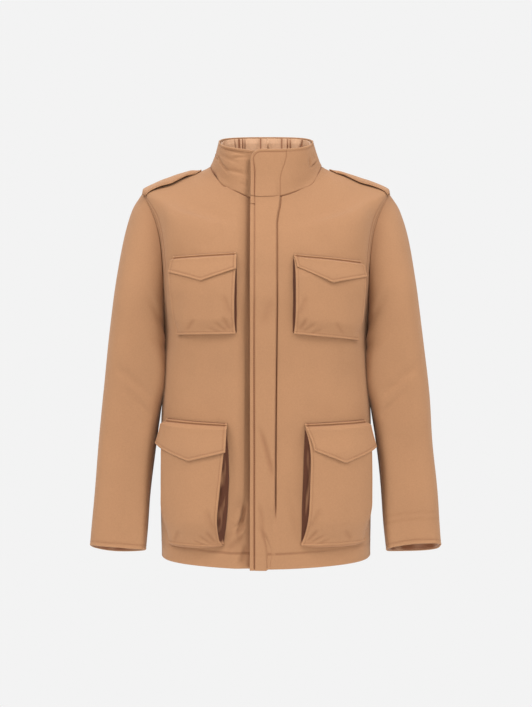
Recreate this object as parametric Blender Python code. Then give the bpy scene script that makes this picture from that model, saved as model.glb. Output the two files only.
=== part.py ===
"""A hip-length field jacket, standing hollow as if it were worn, in metres with +Z up.

The wearer faces -Y and the wearer's left is +X. The origin is the middle of the neck, level
with the top of the shoulders. Every piece of the body, collar and pockets lies on one skin,
which a level along the garment and an angle round it address: 0 is the centre front, a right
angle is the left side seam and half a turn is the centre back.
"""

import math

import bmesh
import bpy
import numpy as np

# ---------------------------------------------------------------- cloth and gaps
SHELL = 0.0022  # wall of the shell cloth with its backing
LIGHT = 0.0014  # wall of a gusset and of the cuff lining
SEAM_GAP = 0.0003
LAP_GAP = 0.0009  # between a piece and what it lies on
STEP = 1e-4  # step of the slopes

QUARTER = math.pi / 2
FULL = 2 * math.pi

# ---------------------------------------------------------------- body and collar
# One row for each section. level runs along the garment from the hem; the rest is half the
# width, how far front and back stand from the middle plane, the heights of the section at
# the side, front and back, how square it is, and how far it lies in two tilted planes that
# meet over the shoulders, and not in a soft curve.
BODY_COLUMNS = (
    "level", "side_x", "front_y", "back_y", "side_z", "front_z", "back_z", "square", "tilt",
)
BODY_ROWS = (
    (0.000, 0.1915, 0.146, 0.136, -0.712, -0.722, -0.718, 2.5, 0.0),  # hem
    (0.110, 0.1925, 0.149, 0.138, -0.602, -0.610, -0.607, 2.5, 0.0),  # lower pockets
    (0.210, 0.1930, 0.147, 0.134, -0.502, -0.507, -0.505, 2.4, 0.0),  # hips
    (0.320, 0.1900, 0.145, 0.129, -0.392, -0.394, -0.394, 2.4, 0.0),  # waist
    (0.407, 0.1890, 0.149, 0.134, -0.305, -0.309, -0.308, 2.4, 0.0),  # underarm
    (0.480, 0.1995, 0.150, 0.140, -0.232, -0.250, -0.236, 2.3, 0.0),  # chest
    (0.570, 0.2150, 0.140, 0.136, -0.140, -0.192, -0.155, 2.2, 0.0),  # upper chest
    (0.660, 0.2280, 0.122, 0.112, -0.047, -0.136, -0.086, 2.2, 0.4),  # shoulder point
    (0.720, 0.1720, 0.107, 0.095, -0.023, -0.101, -0.047, 2.2, 1.0),  # middle of the shoulder
    (0.785, 0.1035, 0.092, 0.079, 0.003, -0.064, -0.018, 2.1, 1.0),  # neck seam
    (0.825, 0.0945, 0.086, 0.077, 0.021, -0.028, 0.020, 2.4, 1.0),  # collar
    (0.875, 0.0860, 0.080, 0.076, 0.047, 0.022, 0.069, 2.9, 1.0),  # top of the collar
)
UNDERARM, SHOULDER, NECK, COLLAR_TOP = 0.407, 0.660, 0.785, 0.875
RIDGE_NECK, RIDGE_RIM = 0.45, 0.08  # how softly the tilted planes meet, at neck and rim
ARMHOLE_FRONT = math.radians(24.5)  # how far the armhole cuts into the front
ARMHOLE_BACK = math.radians(21.0)

# ---------------------------------------------------------------- centre front
FLY_EDGE = -0.0285  # free edge of the fly, on the wearer's right of the centre
FLY_SEAM = 0.0190  # line that holds it to the left front
FLY_SEAM_NECK = 0.0315  # the same line at the neck
FLY_FLARE = 0.030  # length over which it flares there
UNDERLAP = 0.0170  # how far the right front reaches under the left
DIP = 0.0062  # how far the right front sinks to pass under the fly
DIP_START, DIP_WIDTH = -0.064, 0.034
FLY_DROP = 0.003  # the fly ends this far below the hem
FLY_TOP = 0.781  # level of its top, just under the collar
LEFT_EDGE = -0.0235  # edge of the left front, under the fly
COLLAR_UNDERLAP = 0.0100  # how far the collar's right end reaches past the centre
TAB_RADIUS = 0.020  # upper corner of the collar's tab
CENTRE_SHARE, CENTRE_STEPS, SIDE_STEPS = 0.30, 6, 9  # a front has more columns near the fly

# ---------------------------------------------------------------- folds
# A soft trough or ridge of the front: the x and z of its two ends, its half width and its
# height, which is negative for a trough.
FOLD_COLUMNS = ("x_low", "z_low", "x_high", "z_high", "half_width", "height")
FOLD_ROWS = (
    (-0.041, -0.700, -0.036, -0.270, 0.010, -0.0060),  # trough beside the fly
    (-0.085, -0.690, -0.043, -0.600, 0.012, -0.0040),  # drag line from its foot
    (-0.150, -0.240, -0.168, -0.340, 0.012, -0.0030),  # under the right armhole
    (0.150, -0.240, 0.168, -0.340, 0.012, -0.0025),
)

# ---------------------------------------------------------------- sleeves
# One row for each section: its place along the sleeve, x and z of the outer and the inner
# point, y of the front and back points, how far the front is higher than the back, and how
# square it is.
SLEEVE_COLUMNS = (
    "along", "outer_x", "outer_z", "inner_x", "inner_z", "front_y", "back_y", "lean", "square",
)
SLEEVE_ROWS = (
    (0.00, 0.228, -0.047, 0.189, -0.305, -0.083, 0.083, 0.000, 2.0),  # armhole
    (0.05, 0.247, -0.078, 0.184, -0.322, -0.087, 0.087, 0.000, 2.1),
    (0.12, 0.261, -0.128, 0.178, -0.341, -0.091, 0.088, 0.000, 2.2),
    (0.22, 0.271, -0.190, 0.176, -0.364, -0.092, 0.085, 0.000, 2.3),
    (0.34, 0.281, -0.262, 0.178, -0.398, -0.089, 0.078, 0.000, 2.4),
    (0.46, 0.290, -0.335, 0.190, -0.441, -0.085, 0.070, 0.002, 2.4),  # elbow
    (0.58, 0.297, -0.410, 0.199, -0.488, -0.082, 0.060, 0.006, 2.4),
    (0.70, 0.303, -0.487, 0.2065, -0.540, -0.082, 0.046, 0.011, 2.4),
    (0.82, 0.309, -0.565, 0.2125, -0.598, -0.084, 0.028, 0.016, 2.4),
    (0.92, 0.314, -0.637, 0.2165, -0.652, -0.086, 0.010, 0.020, 2.4),
    (1.00, 0.318, -0.693, 0.2205, -0.701, -0.087, -0.005, 0.023, 2.4),  # cuff
)
CAP_FADE = 0.30  # the armhole's own curve fades out over this part of the sleeve
SLEEVE_CLEAR = 0.0035  # between the sleeve and the side of the body
SLEEVE_SOFT = 0.004  # how softly its inner side flattens against the body
PRESS_TOP, PRESS_FADE = -0.120, 0.080  # height under which it does so, and its fade
UNDERARM_Z = -0.305
CUFF_LINING_FROM, CUFF_LINING_TO = 0.88, 0.994

# ---------------------------------------------------------------- pockets
# across is measured along the cloth from the centre front, heights from the origin. stand is
# how far the bag stands off the front. lean is how far its inner edge is pulled to the side,
# lean_at and lean_flat where it is most and over how much of the edge, bulge how far that edge
# and the gusset's foot swell to the centre. over_inner and over_outer are how much wider the
# flap's lower corners are than the bag.
POCKET_COLUMNS = (
    "name", "side", "inner_low", "inner_high", "outer_low", "outer_high",
    "low_inner", "low_outer", "high_inner", "high_outer",
    "stand", "lean", "lean_at", "lean_flat", "bulge",
    "flap_inner", "flap_point", "flap_outer", "over_inner", "over_outer",
)
POCKET_ROWS = (
    ("right_chest", -1, 0.0510, 0.0510, 0.1700, 0.1750,
     -0.3090, -0.3100, -0.1750, -0.1800,
     0.0120, 0.003, 0.30, 2, 0.000,
     0.0330, 0.0510, 0.0300, 0.001, 0.004),
    ("left_chest", 1, 0.0475, 0.0480, 0.1780, 0.1780,
     -0.3090, -0.3200, -0.1780, -0.1880,
     0.0120, 0.003, 0.50, 4, 0.000,
     0.0265, 0.0480, 0.0285, -0.004, 0.005),
    ("right_lower", -1, 0.0730, 0.0680, 0.1960, 0.1970,
     -0.6790, -0.6810, -0.4745, -0.4690,
     0.0200, 0.015, 0.29, 2, 0.006,
     0.0510, 0.0710, 0.0440, 0.001, 0.012),
    ("left_lower", 1, 0.0595, 0.0660, 0.1950, 0.1960,
     -0.6780, -0.6790, -0.4750, -0.4710,
     0.0190, 0.011, 0.50, 4, 0.000,
     0.0470, 0.0720, 0.0490, -0.006, 0.012),
)
BAG_TACK = 0.72  # share of the stand lost at the bag's lower corners
FLAP_ABOVE = 0.010  # the flap's seam above the bag's mouth
FLAP_RISE = 0.007  # over this length it rises from the front to the bag
POCKET_STEPS = 9  # points along a bag's edge
GUSSET_INSET = 0.0012  # how far the gusset stands inside the bag's edge
BELLOWS_LOW, BELLOWS_HIGH, BELLOWS_SHARE = 0.45, 0.55, 0.38  # where the gusset bends

# ---------------------------------------------------------------- shoulder straps
# front_y and back_y are a strap's two long edges at the armhole, swing how much further back
# they lie at the free end, inner_x the place of that end and lift how far it stands off.
STRAP_COLUMNS = ("name", "side", "front_y", "back_y", "swing", "inner_x", "lift")
STRAP_ROWS = (
    ("right_epaulette", -1, -0.037, 0.015, 0.007, 0.118, 0.0046),
    ("left_epaulette", 1, -0.033, 0.019, 0.008, 0.116, 0.0026),
)
STRAP_OUTER = 0.2225  # x of the ends that are sewn in at the armholes
STRAP_POINT = 0.013  # length of the blunt point
STRAP_CROWN = 0.5  # share of the lift that its edges lose
STRAP_TIP, STRAP_TIP_FROM = 0.60, 0.80  # share of the lift that its free end loses, and where

# ---------------------------------------------------------------- collar lining
CHANNELS, CHANNEL_STEPS = 12, 5  # quilted channels round the collar, and columns in each
PUFF, VALLEY = 0.0052, 0.0016  # wall of the lining in a channel and at its seams
PUFF_POWER = 0.6  # how full a channel's section is
LINING_LEFT, LINING_RIGHT = 0.026, 0.062  # distance of its two ends from the centre front
LINING_LOW, LINING_HIGH = 0.796, 0.8745  # its lowest and highest level

CAMEL = (0.558, 0.310, 0.164, 1.0)
CAMEL_SHADE = (0.300, 0.152, 0.080, 1.0)
CAMEL_SATIN = (0.620, 0.380, 0.215, 1.0)


# ---------------------------------------------------------------- curves
def columns(rows, names):
    """The table's columns by name, as arrays."""
    return {name: np.array([row[i] for row in rows]) for i, name in enumerate(names)}


def smooth_through(x, knots, values):
    """The value at x of a smooth curve through the knots that never overshoots them."""
    gaps = np.diff(knots)
    secants = np.diff(values) / gaps
    slopes = np.empty(len(knots))
    slopes[0], slopes[-1] = secants[0], secants[-1]
    before, after = secants[:-1], secants[1:]
    same_way = before * after > 0
    total = np.where(same_way, before + after, 1.0)
    slopes[1:-1] = np.where(same_way, 2 * before * after / total, 0.0)
    x = np.clip(x, knots[0], knots[-1])
    i = np.clip(np.searchsorted(knots, x, side="right") - 1, 0, len(gaps) - 1)
    t = (x - knots[i]) / gaps[i]
    rise = values[i] * (1 + 2 * t) * (1 - t) ** 2 + values[i + 1] * t**2 * (3 - 2 * t)
    return rise + gaps[i] * (slopes[i] * t * (1 - t) ** 2 - slopes[i + 1] * t**2 * (1 - t))


def ease(t):
    """0 below 0, 1 above 1, and a smooth step between."""
    t = np.clip(t, 0.0, 1.0)
    return t * t * (3 - 2 * t)


def unit(vectors):
    return vectors / np.maximum(np.linalg.norm(vectors, axis=-1, keepdims=True), 1e-12)


def dot(a, b):
    return (a * b).sum(axis=-1)


BODY = columns(BODY_ROWS, BODY_COLUMNS)
SLEEVE = columns(SLEEVE_ROWS, SLEEVE_COLUMNS)
FOLDS = columns(FOLD_ROWS, FOLD_COLUMNS)


def body_value(name, level):
    return smooth_through(level, BODY["level"], BODY[name])


# ---------------------------------------------------------------- the skin
def form(angle, level):
    """A point of the smooth form under the cloth's folds."""
    angle, level = np.broadcast_arrays(angle, level)
    sine, cosine = np.sin(angle), np.cos(angle)
    front = cosine > 0
    depth = np.where(front, body_value("front_y", level), body_value("back_y", level))
    middle_z = np.where(front, body_value("front_z", level), body_value("back_z", level))
    side_z = body_value("side_z", level)
    power = body_value("square", level)
    width = body_value("side_x", level)
    reach = (np.abs(sine / width) ** power + np.abs(cosine / depth) ** power) ** (-1 / power)
    rise = np.clip((level - NECK) / (COLLAR_TOP - NECK), 0.0, 1.0)
    ridge = RIDGE_NECK + (RIDGE_RIM - RIDGE_NECK) * rise
    tilted = (np.hypot(reach * cosine / depth, ridge) - ridge) / (np.hypot(1.0, ridge) - ridge)
    share = cosine**2 + (tilted - cosine**2) * body_value("tilt", level)
    height = side_z + (middle_z - side_z) * share
    return np.stack([reach * sine, -reach * cosine, height], axis=-1)


def form_normal(angle, level):
    round_it = form(angle + STEP, level) - form(angle - STEP, level)
    high = np.minimum(level + STEP, COLLAR_TOP)
    low = np.maximum(level - STEP, 0.0)
    return unit(np.cross(round_it, form(angle, high) - form(angle, low)))


def fold_height(points):
    """How far the folds lift the cloth of the front at these points."""
    x, y, z = points[..., 0], points[..., 1], points[..., 2]
    lift = np.zeros(x.shape)
    for k in range(len(FOLD_ROWS)):
        run_x = FOLDS["x_high"][k] - FOLDS["x_low"][k]
        run_z = FOLDS["z_high"][k] - FOLDS["z_low"][k]
        past_x, past_z = x - FOLDS["x_low"][k], z - FOLDS["z_low"][k]
        length = math.hypot(run_x, run_z)
        along = (past_x * run_x + past_z * run_z) / length**2
        aside = (past_x * run_z - past_z * run_x) / length / FOLDS["half_width"][k]
        taper = ease(along * 4 + 0.5) * ease((1 - along) * 4 + 0.5)
        lift += FOLDS["height"][k] * np.exp(-(aside**2)) * taper
    return np.where(y < 0, lift, 0.0)


def skin(angle, level, out=0.0):
    """A point of the cloth's outer face, or one that stands off it."""
    base = form(angle, level)
    return base + form_normal(angle, level) * (fold_height(base) + out)[..., None]


def sink_under_fly(points, normals, right_end):
    """Sinks the cloth of the right front and the collar's right end towards the overlap."""
    depth = DIP * ease((points[..., 0] - DIP_START) / DIP_WIDTH)
    return points - normals * np.where(right_end & (points[..., 1] < 0), depth, 0.0)[..., None]


def centre_angle(x, level):
    """The angle at which the skin of the front stands at this x, near the centre."""
    return np.arctan2(x, body_value("front_y", level))


def level_where(angle, wanted, low, high, measure):
    """The level between low and high where a measure of the form, rising with it, is wanted."""
    low = np.full(np.broadcast(angle, wanted).shape, low)
    high = np.full(low.shape, high)
    for _ in range(30):
        middle = (low + high) / 2
        over = measure(form(angle, middle)) > wanted
        high = np.where(over, middle, high)
        low = np.where(over, low, middle)
    return (low + high) / 2


# ---------------------------------------------------------------- places on the front
MAP_HEIGHTS = np.linspace(-0.720, -0.100, 63)
MAP_ANGLES = np.linspace(0.0, math.radians(100), 101)


def front_map():
    """How far along the cloth from the centre front each angle lies, at each mapped height."""
    angles, heights = np.meshgrid(MAP_ANGLES, MAP_HEIGHTS)
    levels = level_where(angles, heights, 0.0, SHOULDER, lambda p: p[..., 2])
    steps = np.linalg.norm(np.diff(form(angles, levels), axis=1), axis=-1)
    return np.concatenate([np.zeros((len(MAP_HEIGHTS), 1)), np.cumsum(steps, axis=1)], axis=1)


FRONT_ARCS = front_map()


def on_front(side, across, height, out):
    """A point that stands off the front: across from the centre, along the cloth, and high."""
    across, height, out = np.broadcast_arrays(across, height, out)
    place = (height - MAP_HEIGHTS[0]) / (MAP_HEIGHTS[1] - MAP_HEIGHTS[0])
    row = np.clip(place.astype(int), 0, len(MAP_HEIGHTS) - 2)
    share = np.clip(place - row, 0.0, 1.0)
    angles = np.empty(across.shape)
    for at in np.ndindex(across.shape):
        below = np.interp(across[at], FRONT_ARCS[row[at]], MAP_ANGLES)
        above = np.interp(across[at], FRONT_ARCS[row[at] + 1], MAP_ANGLES)
        angles[at] = below + (above - below) * share[at]
    levels = level_where(angles, height, 0.0, SHOULDER, lambda p: p[..., 2])
    return skin(side * angles, levels, out)


# ---------------------------------------------------------------- walls of cloth
def material(name, colour, roughness):
    made = bpy.data.materials.new(name)
    made.use_nodes = True
    shader = made.node_tree.nodes["Principled BSDF"]
    shader.inputs["Base Color"].default_value = colour
    shader.inputs["Roughness"].default_value = roughness
    shader.inputs["Metallic"].default_value = 0.0
    return made


def round_slopes(points):
    """The direction of a tube's rings at each point; its last column repeats the first."""
    ring = points[:, :-1]
    turned = np.roll(ring, -1, axis=1) - np.roll(ring, 1, axis=1)
    return np.concatenate([turned, turned[:, :1]], axis=1)


def seam_allowance(points, normals, tube):
    """The step by which each edge point moves into its own piece, to leave the seam gap."""
    step = np.zeros(points.shape)
    rows, cols = points.shape[:2]
    half = SEAM_GAP / 2
    if tube:
        for row, way in ((0, 1), (rows - 1, -1)):
            along = round_slopes(points)[row] * way
            step[row] = unit(np.cross(normals[row], unit(along))) * half
        return step
    rim = [(0, c) for c in range(cols)] + [(r, cols - 1) for r in range(1, rows)]
    rim += [(rows - 1, c) for c in range(cols - 2, -1, -1)]
    rim += [(r, 0) for r in range(rows - 2, 0, -1)]
    loop = np.array([points[at] for at in rim])
    along = unit(unit(np.roll(loop, -1, axis=0) - loop) + unit(loop - np.roll(loop, 1, axis=0)))
    for at, way in zip(rim, along):
        step[at] = unit(np.cross(normals[at], way)) * half
    return step


def build_wall(name, outside, inside, finish, tube=False):
    """A closed wall between two grids of points that match, open at a tube's two ends."""
    rows, cols = outside.shape[:2]
    bm = bmesh.new()
    row_of = bm.verts.layers.int.new("row")
    col_of = bm.verts.layers.int.new("col")
    bmesh.ops.create_grid(bm, x_segments=cols - 1, y_segments=rows - 1, size=0.5)
    for vert in bm.verts:
        vert[row_of] = round((vert.co.y + 0.5) * (rows - 1))
        vert[col_of] = round((vert.co.x + 0.5) * (cols - 1))
        vert.co = outside[vert[row_of], vert[col_of]]
    if tube:
        bmesh.ops.remove_doubles(bm, verts=bm.verts, dist=1e-6)
    made = bmesh.ops.extrude_face_region(bm, geom=bm.faces[:], use_keep_orig=True)["geom"]
    for item in made:
        if isinstance(item, bmesh.types.BMVert):
            item.co = inside[item[row_of], item[col_of]]
    bmesh.ops.recalc_face_normals(bm, faces=bm.faces)
    mesh = bpy.data.meshes.new(name)
    bm.to_mesh(mesh)
    bm.free()
    mesh.shade_smooth()
    mesh.set_sharp_from_angle(angle=math.radians(50))
    mesh.materials.append(finish)
    made_object = bpy.data.objects.new(name, mesh)
    bpy.context.scene.collection.objects.link(made_object)
    return made_object


def cloth(name, points, normals, finish, wall=SHELL, tube=False, shift=None, inner=None):
    """A wall of cloth under the given outer points; inner overrides its thickness steps."""
    step = seam_allowance(points, normals, tube)
    if shift is not None:
        step = step + shift
    down = normals * wall if inner is None else inner
    return build_wall(name, points + step, points + step - down, finish, tube)


# ---------------------------------------------------------------- armhole and sleeves
def armhole(turn):
    """Angle and level of the left armhole's edge; turn is 0 at the underarm, then front."""
    reach = np.where(np.sin(turn) > 0, ARMHOLE_FRONT, ARMHOLE_BACK)
    middle, half = (UNDERARM + SHOULDER) / 2, (SHOULDER - UNDERARM) / 2
    return QUARTER - reach * np.sin(turn), middle - half * np.cos(turn)


def signed_power(value, power):
    return np.sign(value) * np.abs(value) ** power


def body_side(points):
    """The x of the body's left side at the height and depth of each point."""
    level = np.interp(points[..., 2], BODY["side_z"][:8], BODY["level"][:8])
    depth = np.where(points[..., 1] < 0, body_value("front_y", level), body_value("back_y", level))
    power = body_value("square", level)
    share = np.clip(np.abs(points[..., 1]) / depth, 0.0, 0.999)
    return body_value("side_x", level) * (1 - share**power) ** (1 / power)


def sleeve_ring(turn, along):
    """A point of the left sleeve's own sections, pressed clear of the body's side."""
    value = {
        name: smooth_through(along, SLEEVE["along"], SLEEVE[name]) for name in SLEEVE_COLUMNS
    }
    power = 2 / value["square"]
    inward, forward = signed_power(np.cos(turn), power), signed_power(np.sin(turn), power)
    middle_x = (value["outer_x"] + value["inner_x"]) / 2
    middle_y = (value["front_y"] + value["back_y"]) / 2
    middle_z = (value["outer_z"] + value["inner_z"]) / 2
    x = middle_x - (value["outer_x"] - value["inner_x"]) / 2 * inward
    y = middle_y - (value["back_y"] - value["front_y"]) / 2 * forward
    z = middle_z - (value["outer_z"] - value["inner_z"]) / 2 * inward + value["lean"] / 2 * forward
    free = np.stack([x, y, z], axis=-1)
    side = body_side(free) + SLEEVE_CLEAR
    pressed = (x + side + np.hypot(x - side, SLEEVE_SOFT)) / 2
    free[..., 0] = x + (pressed - x) * ease((PRESS_TOP - z) / PRESS_FADE)
    return free


def sleeve(turn, along):
    """A point of the left sleeve: turn as for the armhole, along from armhole to cuff."""
    turn, along = np.broadcast_arrays(turn, along)
    start = skin(*armhole(turn)) - sleeve_ring(turn, np.zeros(turn.shape))
    fade = 1 - ease(along / CAP_FADE)
    point = sleeve_ring(turn, along) + start * fade[..., None]
    side = body_side(point) + SLEEVE_CLEAR * ease(along / 0.04)
    under = ease((UNDERARM_Z + 0.02 - point[..., 2]) / 0.02)
    point[..., 0] += (np.maximum(point[..., 0], side) - point[..., 0]) * under
    return point


def sleeve_normal(turn, along):
    round_it = sleeve(turn + STEP, along) - sleeve(turn - STEP, along)
    down = sleeve(turn, np.minimum(along + STEP, 1.0)) - sleeve(turn, np.maximum(along - STEP, 0.0))
    return unit(np.cross(down, round_it))


def armhole_mitre(turn):
    """Along the armhole: the body's and the sleeve's normals, turned to one mitre plane."""
    of_body = form_normal(*armhole(turn))
    of_sleeve = sleeve_normal(turn, np.zeros(turn.shape))
    away = unit(sleeve(turn, np.full(turn.shape, 0.01)) - sleeve(turn, np.zeros(turn.shape)))
    share = np.clip(-5 * dot(away, of_body), 0.0, 1.0)[..., None]
    body_cut, sleeve_cut = unit(of_body + share * of_sleeve), unit(of_sleeve + share * of_body)
    body_cut = body_cut / np.maximum(dot(body_cut, of_body), 0.6)[..., None]
    sleeve_cut = sleeve_cut / np.maximum(dot(sleeve_cut, of_sleeve), 0.6)[..., None]
    return body_cut, sleeve_cut, of_body * (1 - share)


ARMHOLE_STEPS = 12  # from underarm to shoulder point, on each side
# A sleeve is an upper and a lower tube that meet at the elbow, and a cuff below a seam.
SLEEVE_PIECES = (
    ("sleeve_upper", (0.0, 0.02, 0.05, 0.09, 0.14, 0.20, 0.27, 0.34, 0.42, 0.50)),
    ("sleeve_lower", (0.50, 0.60, 0.70, 0.81, 0.91)),
    ("cuff", (0.91, 0.955, 1.0)),
)


def flip(points, side):
    """The same points on the wearer's left, side 1, or mirrored to the right, side -1."""
    return points * np.array([side, 1, 1])


def build_sleeve(name, side, stations, finish):
    turns = np.linspace(0, FULL, 2 * ARMHOLE_STEPS + 1)
    turn, along = np.meshgrid(turns, stations)
    points, normals = sleeve(turn, along), sleeve_normal(turn, along)
    inner = normals * SHELL
    shift = np.zeros(points.shape)
    if stations[0] == 0:
        _, cut, clear = armhole_mitre(turns)
        inner[0] = cut * SHELL
        shift[0] = clear * SEAM_GAP
    # seen from outside, the rows run up and the columns to the right
    fields = [flip(field[::-1], side)[:, ::side] for field in (points, normals, shift, inner)]
    points, normals, shift, inner = fields
    cloth(name, points, normals, finish, tube=True, shift=shift, inner=inner)


def build_cuff_lining(name, side, finish):
    """The lining's last stretch inside the cuff, which is all of it that shows."""
    turns = np.linspace(0, FULL, 2 * ARMHOLE_STEPS + 1)
    turn, along = np.meshgrid(turns, np.linspace(CUFF_LINING_TO, CUFF_LINING_FROM, 3))
    under = SHELL + LAP_GAP
    normals = sleeve_normal(turn, along)
    points = sleeve(turn, along) - normals * under
    points, normals = (flip(field, side)[:, ::side] for field in (points, normals))
    cloth(name, points, normals, finish, wall=LIGHT, tube=True)


# ---------------------------------------------------------------- body panels
def panel_rows():
    """Levels of a panel's rows and, on those of the armhole, the turn round it."""
    side = np.linspace(0.0, UNDERARM, 11)[:-1]
    turn = np.linspace(0.0, math.pi, ARMHOLE_STEPS + 1)
    shoulder = np.linspace(SHOULDER, NECK, 5)[1:]
    levels = np.concatenate([side, armhole(turn)[1], shoulder])
    turns = np.concatenate([np.zeros(len(side)), turn, np.full(len(shoulder), math.pi)])
    return levels, turns


def cut_armhole(inner, column, turns, levels, front, side):
    """Turns the wall's edge along the armhole into the mitre it shares with the sleeve."""
    on_edge = (levels >= UNDERARM - 1e-9) & (levels <= SHOULDER + 1e-9)
    way = turns[on_edge] if front else FULL - turns[on_edge]
    inner[on_edge, column] = flip(armhole_mitre(way)[0] * SHELL, side)


def build_front(name, side, finish):
    levels, turns = panel_rows()
    seam = QUARTER - ARMHOLE_FRONT * np.sin(turns)
    centre = centre_angle(LEFT_EDGE if side > 0 else -UNDERLAP, levels)
    near = np.linspace(0, CENTRE_SHARE, CENTRE_STEPS + 1)
    far = np.linspace(CENTRE_SHARE, 1, SIDE_STEPS + 1)[1:]
    angles = centre[:, None] + (seam - centre)[:, None] * np.concatenate([near, far])
    angles = side * angles[:, ::side]
    grid = np.broadcast_to(levels[:, None], angles.shape)
    points, normals = skin(angles, grid), form_normal(angles, grid)
    if side < 0:
        points = sink_under_fly(points, normals, True)
    inner = normals * SHELL
    cut_armhole(inner, -1 if side > 0 else 0, turns, levels, True, side)
    cloth(name, points, normals, finish, inner=inner)


def build_back(name, finish):
    levels, turns = panel_rows()
    seam = QUARTER + ARMHOLE_BACK * np.sin(turns)
    shares = np.linspace(0, 1, 23)
    angles = seam[:, None] + (FULL - 2 * seam)[:, None] * shares
    grid = np.broadcast_to(levels[:, None], angles.shape)
    points, normals = skin(angles, grid), form_normal(angles, grid)
    inner = normals * SHELL
    cut_armhole(inner, 0, turns, levels, False, 1)
    cut_armhole(inner, -1, turns, levels, False, -1)
    cloth(name, points, normals, finish, inner=inner)


# ---------------------------------------------------------------- fly, collar and tab
def fly_seam(level):
    """The x of the line that holds the fly, which flares towards the neck."""
    return FLY_SEAM + (FLY_SEAM_NECK - FLY_SEAM) * ease((level - NECK + FLY_FLARE) / FLY_FLARE)


def build_placket(name, finish):
    straight, flared = np.linspace(0.0, SHOULDER, 19), np.linspace(SHOULDER, FLY_TOP, 8)[1:]
    share, level = np.meshgrid(np.linspace(0, 1, 6), np.concatenate([straight, flared]))
    x = FLY_EDGE + (fly_seam(level) - FLY_EDGE) * share
    angle = centre_angle(x, level)
    points = skin(angle, level, SHELL + 1.4 * LAP_GAP)
    points[0, :, 2] -= FLY_DROP
    cloth(name, points, form_normal(angle, level), finish, wall=SHELL)


def collar_levels(steps):
    return np.linspace(NECK + SEAM_GAP, COLLAR_TOP, steps + 1)


def build_collar(name, finish):
    levels = collar_levels(5)
    start = centre_angle(FLY_SEAM_NECK, levels)
    end = FULL + centre_angle(COLLAR_UNDERLAP, levels)
    angles = start[:, None] + (end - start)[:, None] * np.linspace(0, 1, 41)
    grid = np.broadcast_to(levels[:, None], angles.shape)
    normals = form_normal(angles, grid)
    points = sink_under_fly(skin(angles, grid), normals, angles > math.pi)
    cloth(name, points, normals, finish)


def build_collar_tab(name, finish):
    """The end of the fly on the collar, its upper corner rounded off."""
    share, rise = np.meshgrid(np.linspace(0, 1, 7), np.linspace(0, 1, 7))
    x = FLY_EDGE + (FLY_SEAM_NECK - FLY_EDGE) * share
    into = np.clip((FLY_EDGE + TAB_RADIUS - x) / TAB_RADIUS, 0.0, 1.0)
    top = COLLAR_TOP - TAB_RADIUS * (1 - np.sqrt(1 - into**2))
    base = NECK + SEAM_GAP
    level = base + (top - base) * rise
    angle = centre_angle(x, level)
    cloth(name, skin(angle, level), form_normal(angle, level), finish)


def build_collar_lining(name, finish):
    """A plain back against the collar and quilted channels towards the neck."""
    levels = np.linspace(LINING_LOW, LINING_HIGH, 5)
    start, end = centre_angle(LINING_LEFT, levels), FULL - centre_angle(LINING_RIGHT, levels)
    shares = np.linspace(0, 1, CHANNELS * CHANNEL_STEPS + 1)
    angles = start[:, None] + (end - start)[:, None] * shares
    grid = np.broadcast_to(levels[:, None], angles.shape)
    normals = form_normal(angles, grid)
    back = skin(angles, grid) + normals * (-SHELL - LAP_GAP)
    back = sink_under_fly(back, normals, angles > math.pi)
    swell = np.abs(np.sin(math.pi * shares * CHANNELS)) ** PUFF_POWER
    ends = np.array([0.5, 1.0, 1.0, 1.0, 0.35])  # flatter at its two long edges
    thick = VALLEY + (PUFF - VALLEY) * swell * ends[:, None]
    cloth(name, back, normals, finish, inner=normals * thick[..., None])


# ---------------------------------------------------------------- pockets
def pocket_place(pocket, u, v):
    """across and height of a point of the pocket's base: u from -1 inner to 1 outer, v up."""
    share = (u + 1) / 2
    inner = pocket["inner_low"] + (pocket["inner_high"] - pocket["inner_low"]) * v
    outer = pocket["outer_low"] + (pocket["outer_high"] - pocket["outer_low"]) * v
    low = pocket["low_inner"] + (pocket["low_outer"] - pocket["low_inner"]) * share
    high = pocket["high_inner"] + (pocket["high_outer"] - pocket["high_inner"]) * share
    return inner + (outer - inner) * share, low + (high - low) * v


def pocket_lean(pocket, u, v):
    """How far the bag is pulled to the side, most at its inner edge."""
    v = np.clip(v, 0, 1) ** (math.log(0.5) / math.log(pocket["lean_at"]))
    return pocket["lean"] * (1 - u) / 2 * (1 - np.abs(2 * v - 1) ** pocket["lean_flat"])


def pocket_stand(pocket, u, v):
    """How far the bag's outer face stands off the front."""
    corner = np.abs(u) ** 4 * (1 - ease(v / 0.35))
    mouth = 1 - 0.35 * ease((v - 0.75) / 0.25)
    bottom = 0.80 + 0.20 * ease(v / 0.2)
    crown = 0.10 * (1 - u**2)
    low = SHELL + 3 * LAP_GAP
    full = pocket["stand"] * (1 - BAG_TACK * corner) * mouth * bottom * (1 + crown)
    return np.maximum(full, low)


def pocket_point(pocket, u, v, out, inset=0.0, leaning=True):
    """A point of the bag or, where it doesn't lean, above its foot on the front."""
    across, height = pocket_place(pocket, u, v)
    across = across - pocket["bulge"] * (1 - u) / 2 * np.sin(math.pi * np.clip(v, 0, 1))
    if leaning:
        across = across + pocket_lean(pocket, u, v)
    across = across - inset * np.sign(u) * (np.abs(u) >= 1)
    height = height + inset * (v <= 0)
    return on_front(pocket["side"], across, height, out)


def facing_out(field, side):
    """A pocket's grid runs away from the centre, so on the right its columns are turned."""
    return field if side > 0 else field[:, ::-1]


def build_bag(pocket, finish):
    u, v = np.meshgrid(np.linspace(-1, 1, POCKET_STEPS), np.linspace(0, 1, POCKET_STEPS))
    stand = pocket_stand(pocket, u, v)
    outside = facing_out(pocket_point(pocket, u, v, stand), pocket["side"])
    inside = facing_out(pocket_point(pocket, u, v, stand - SHELL), pocket["side"])
    build_wall(pocket["name"] + "_bag", outside, inside, finish)


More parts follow.
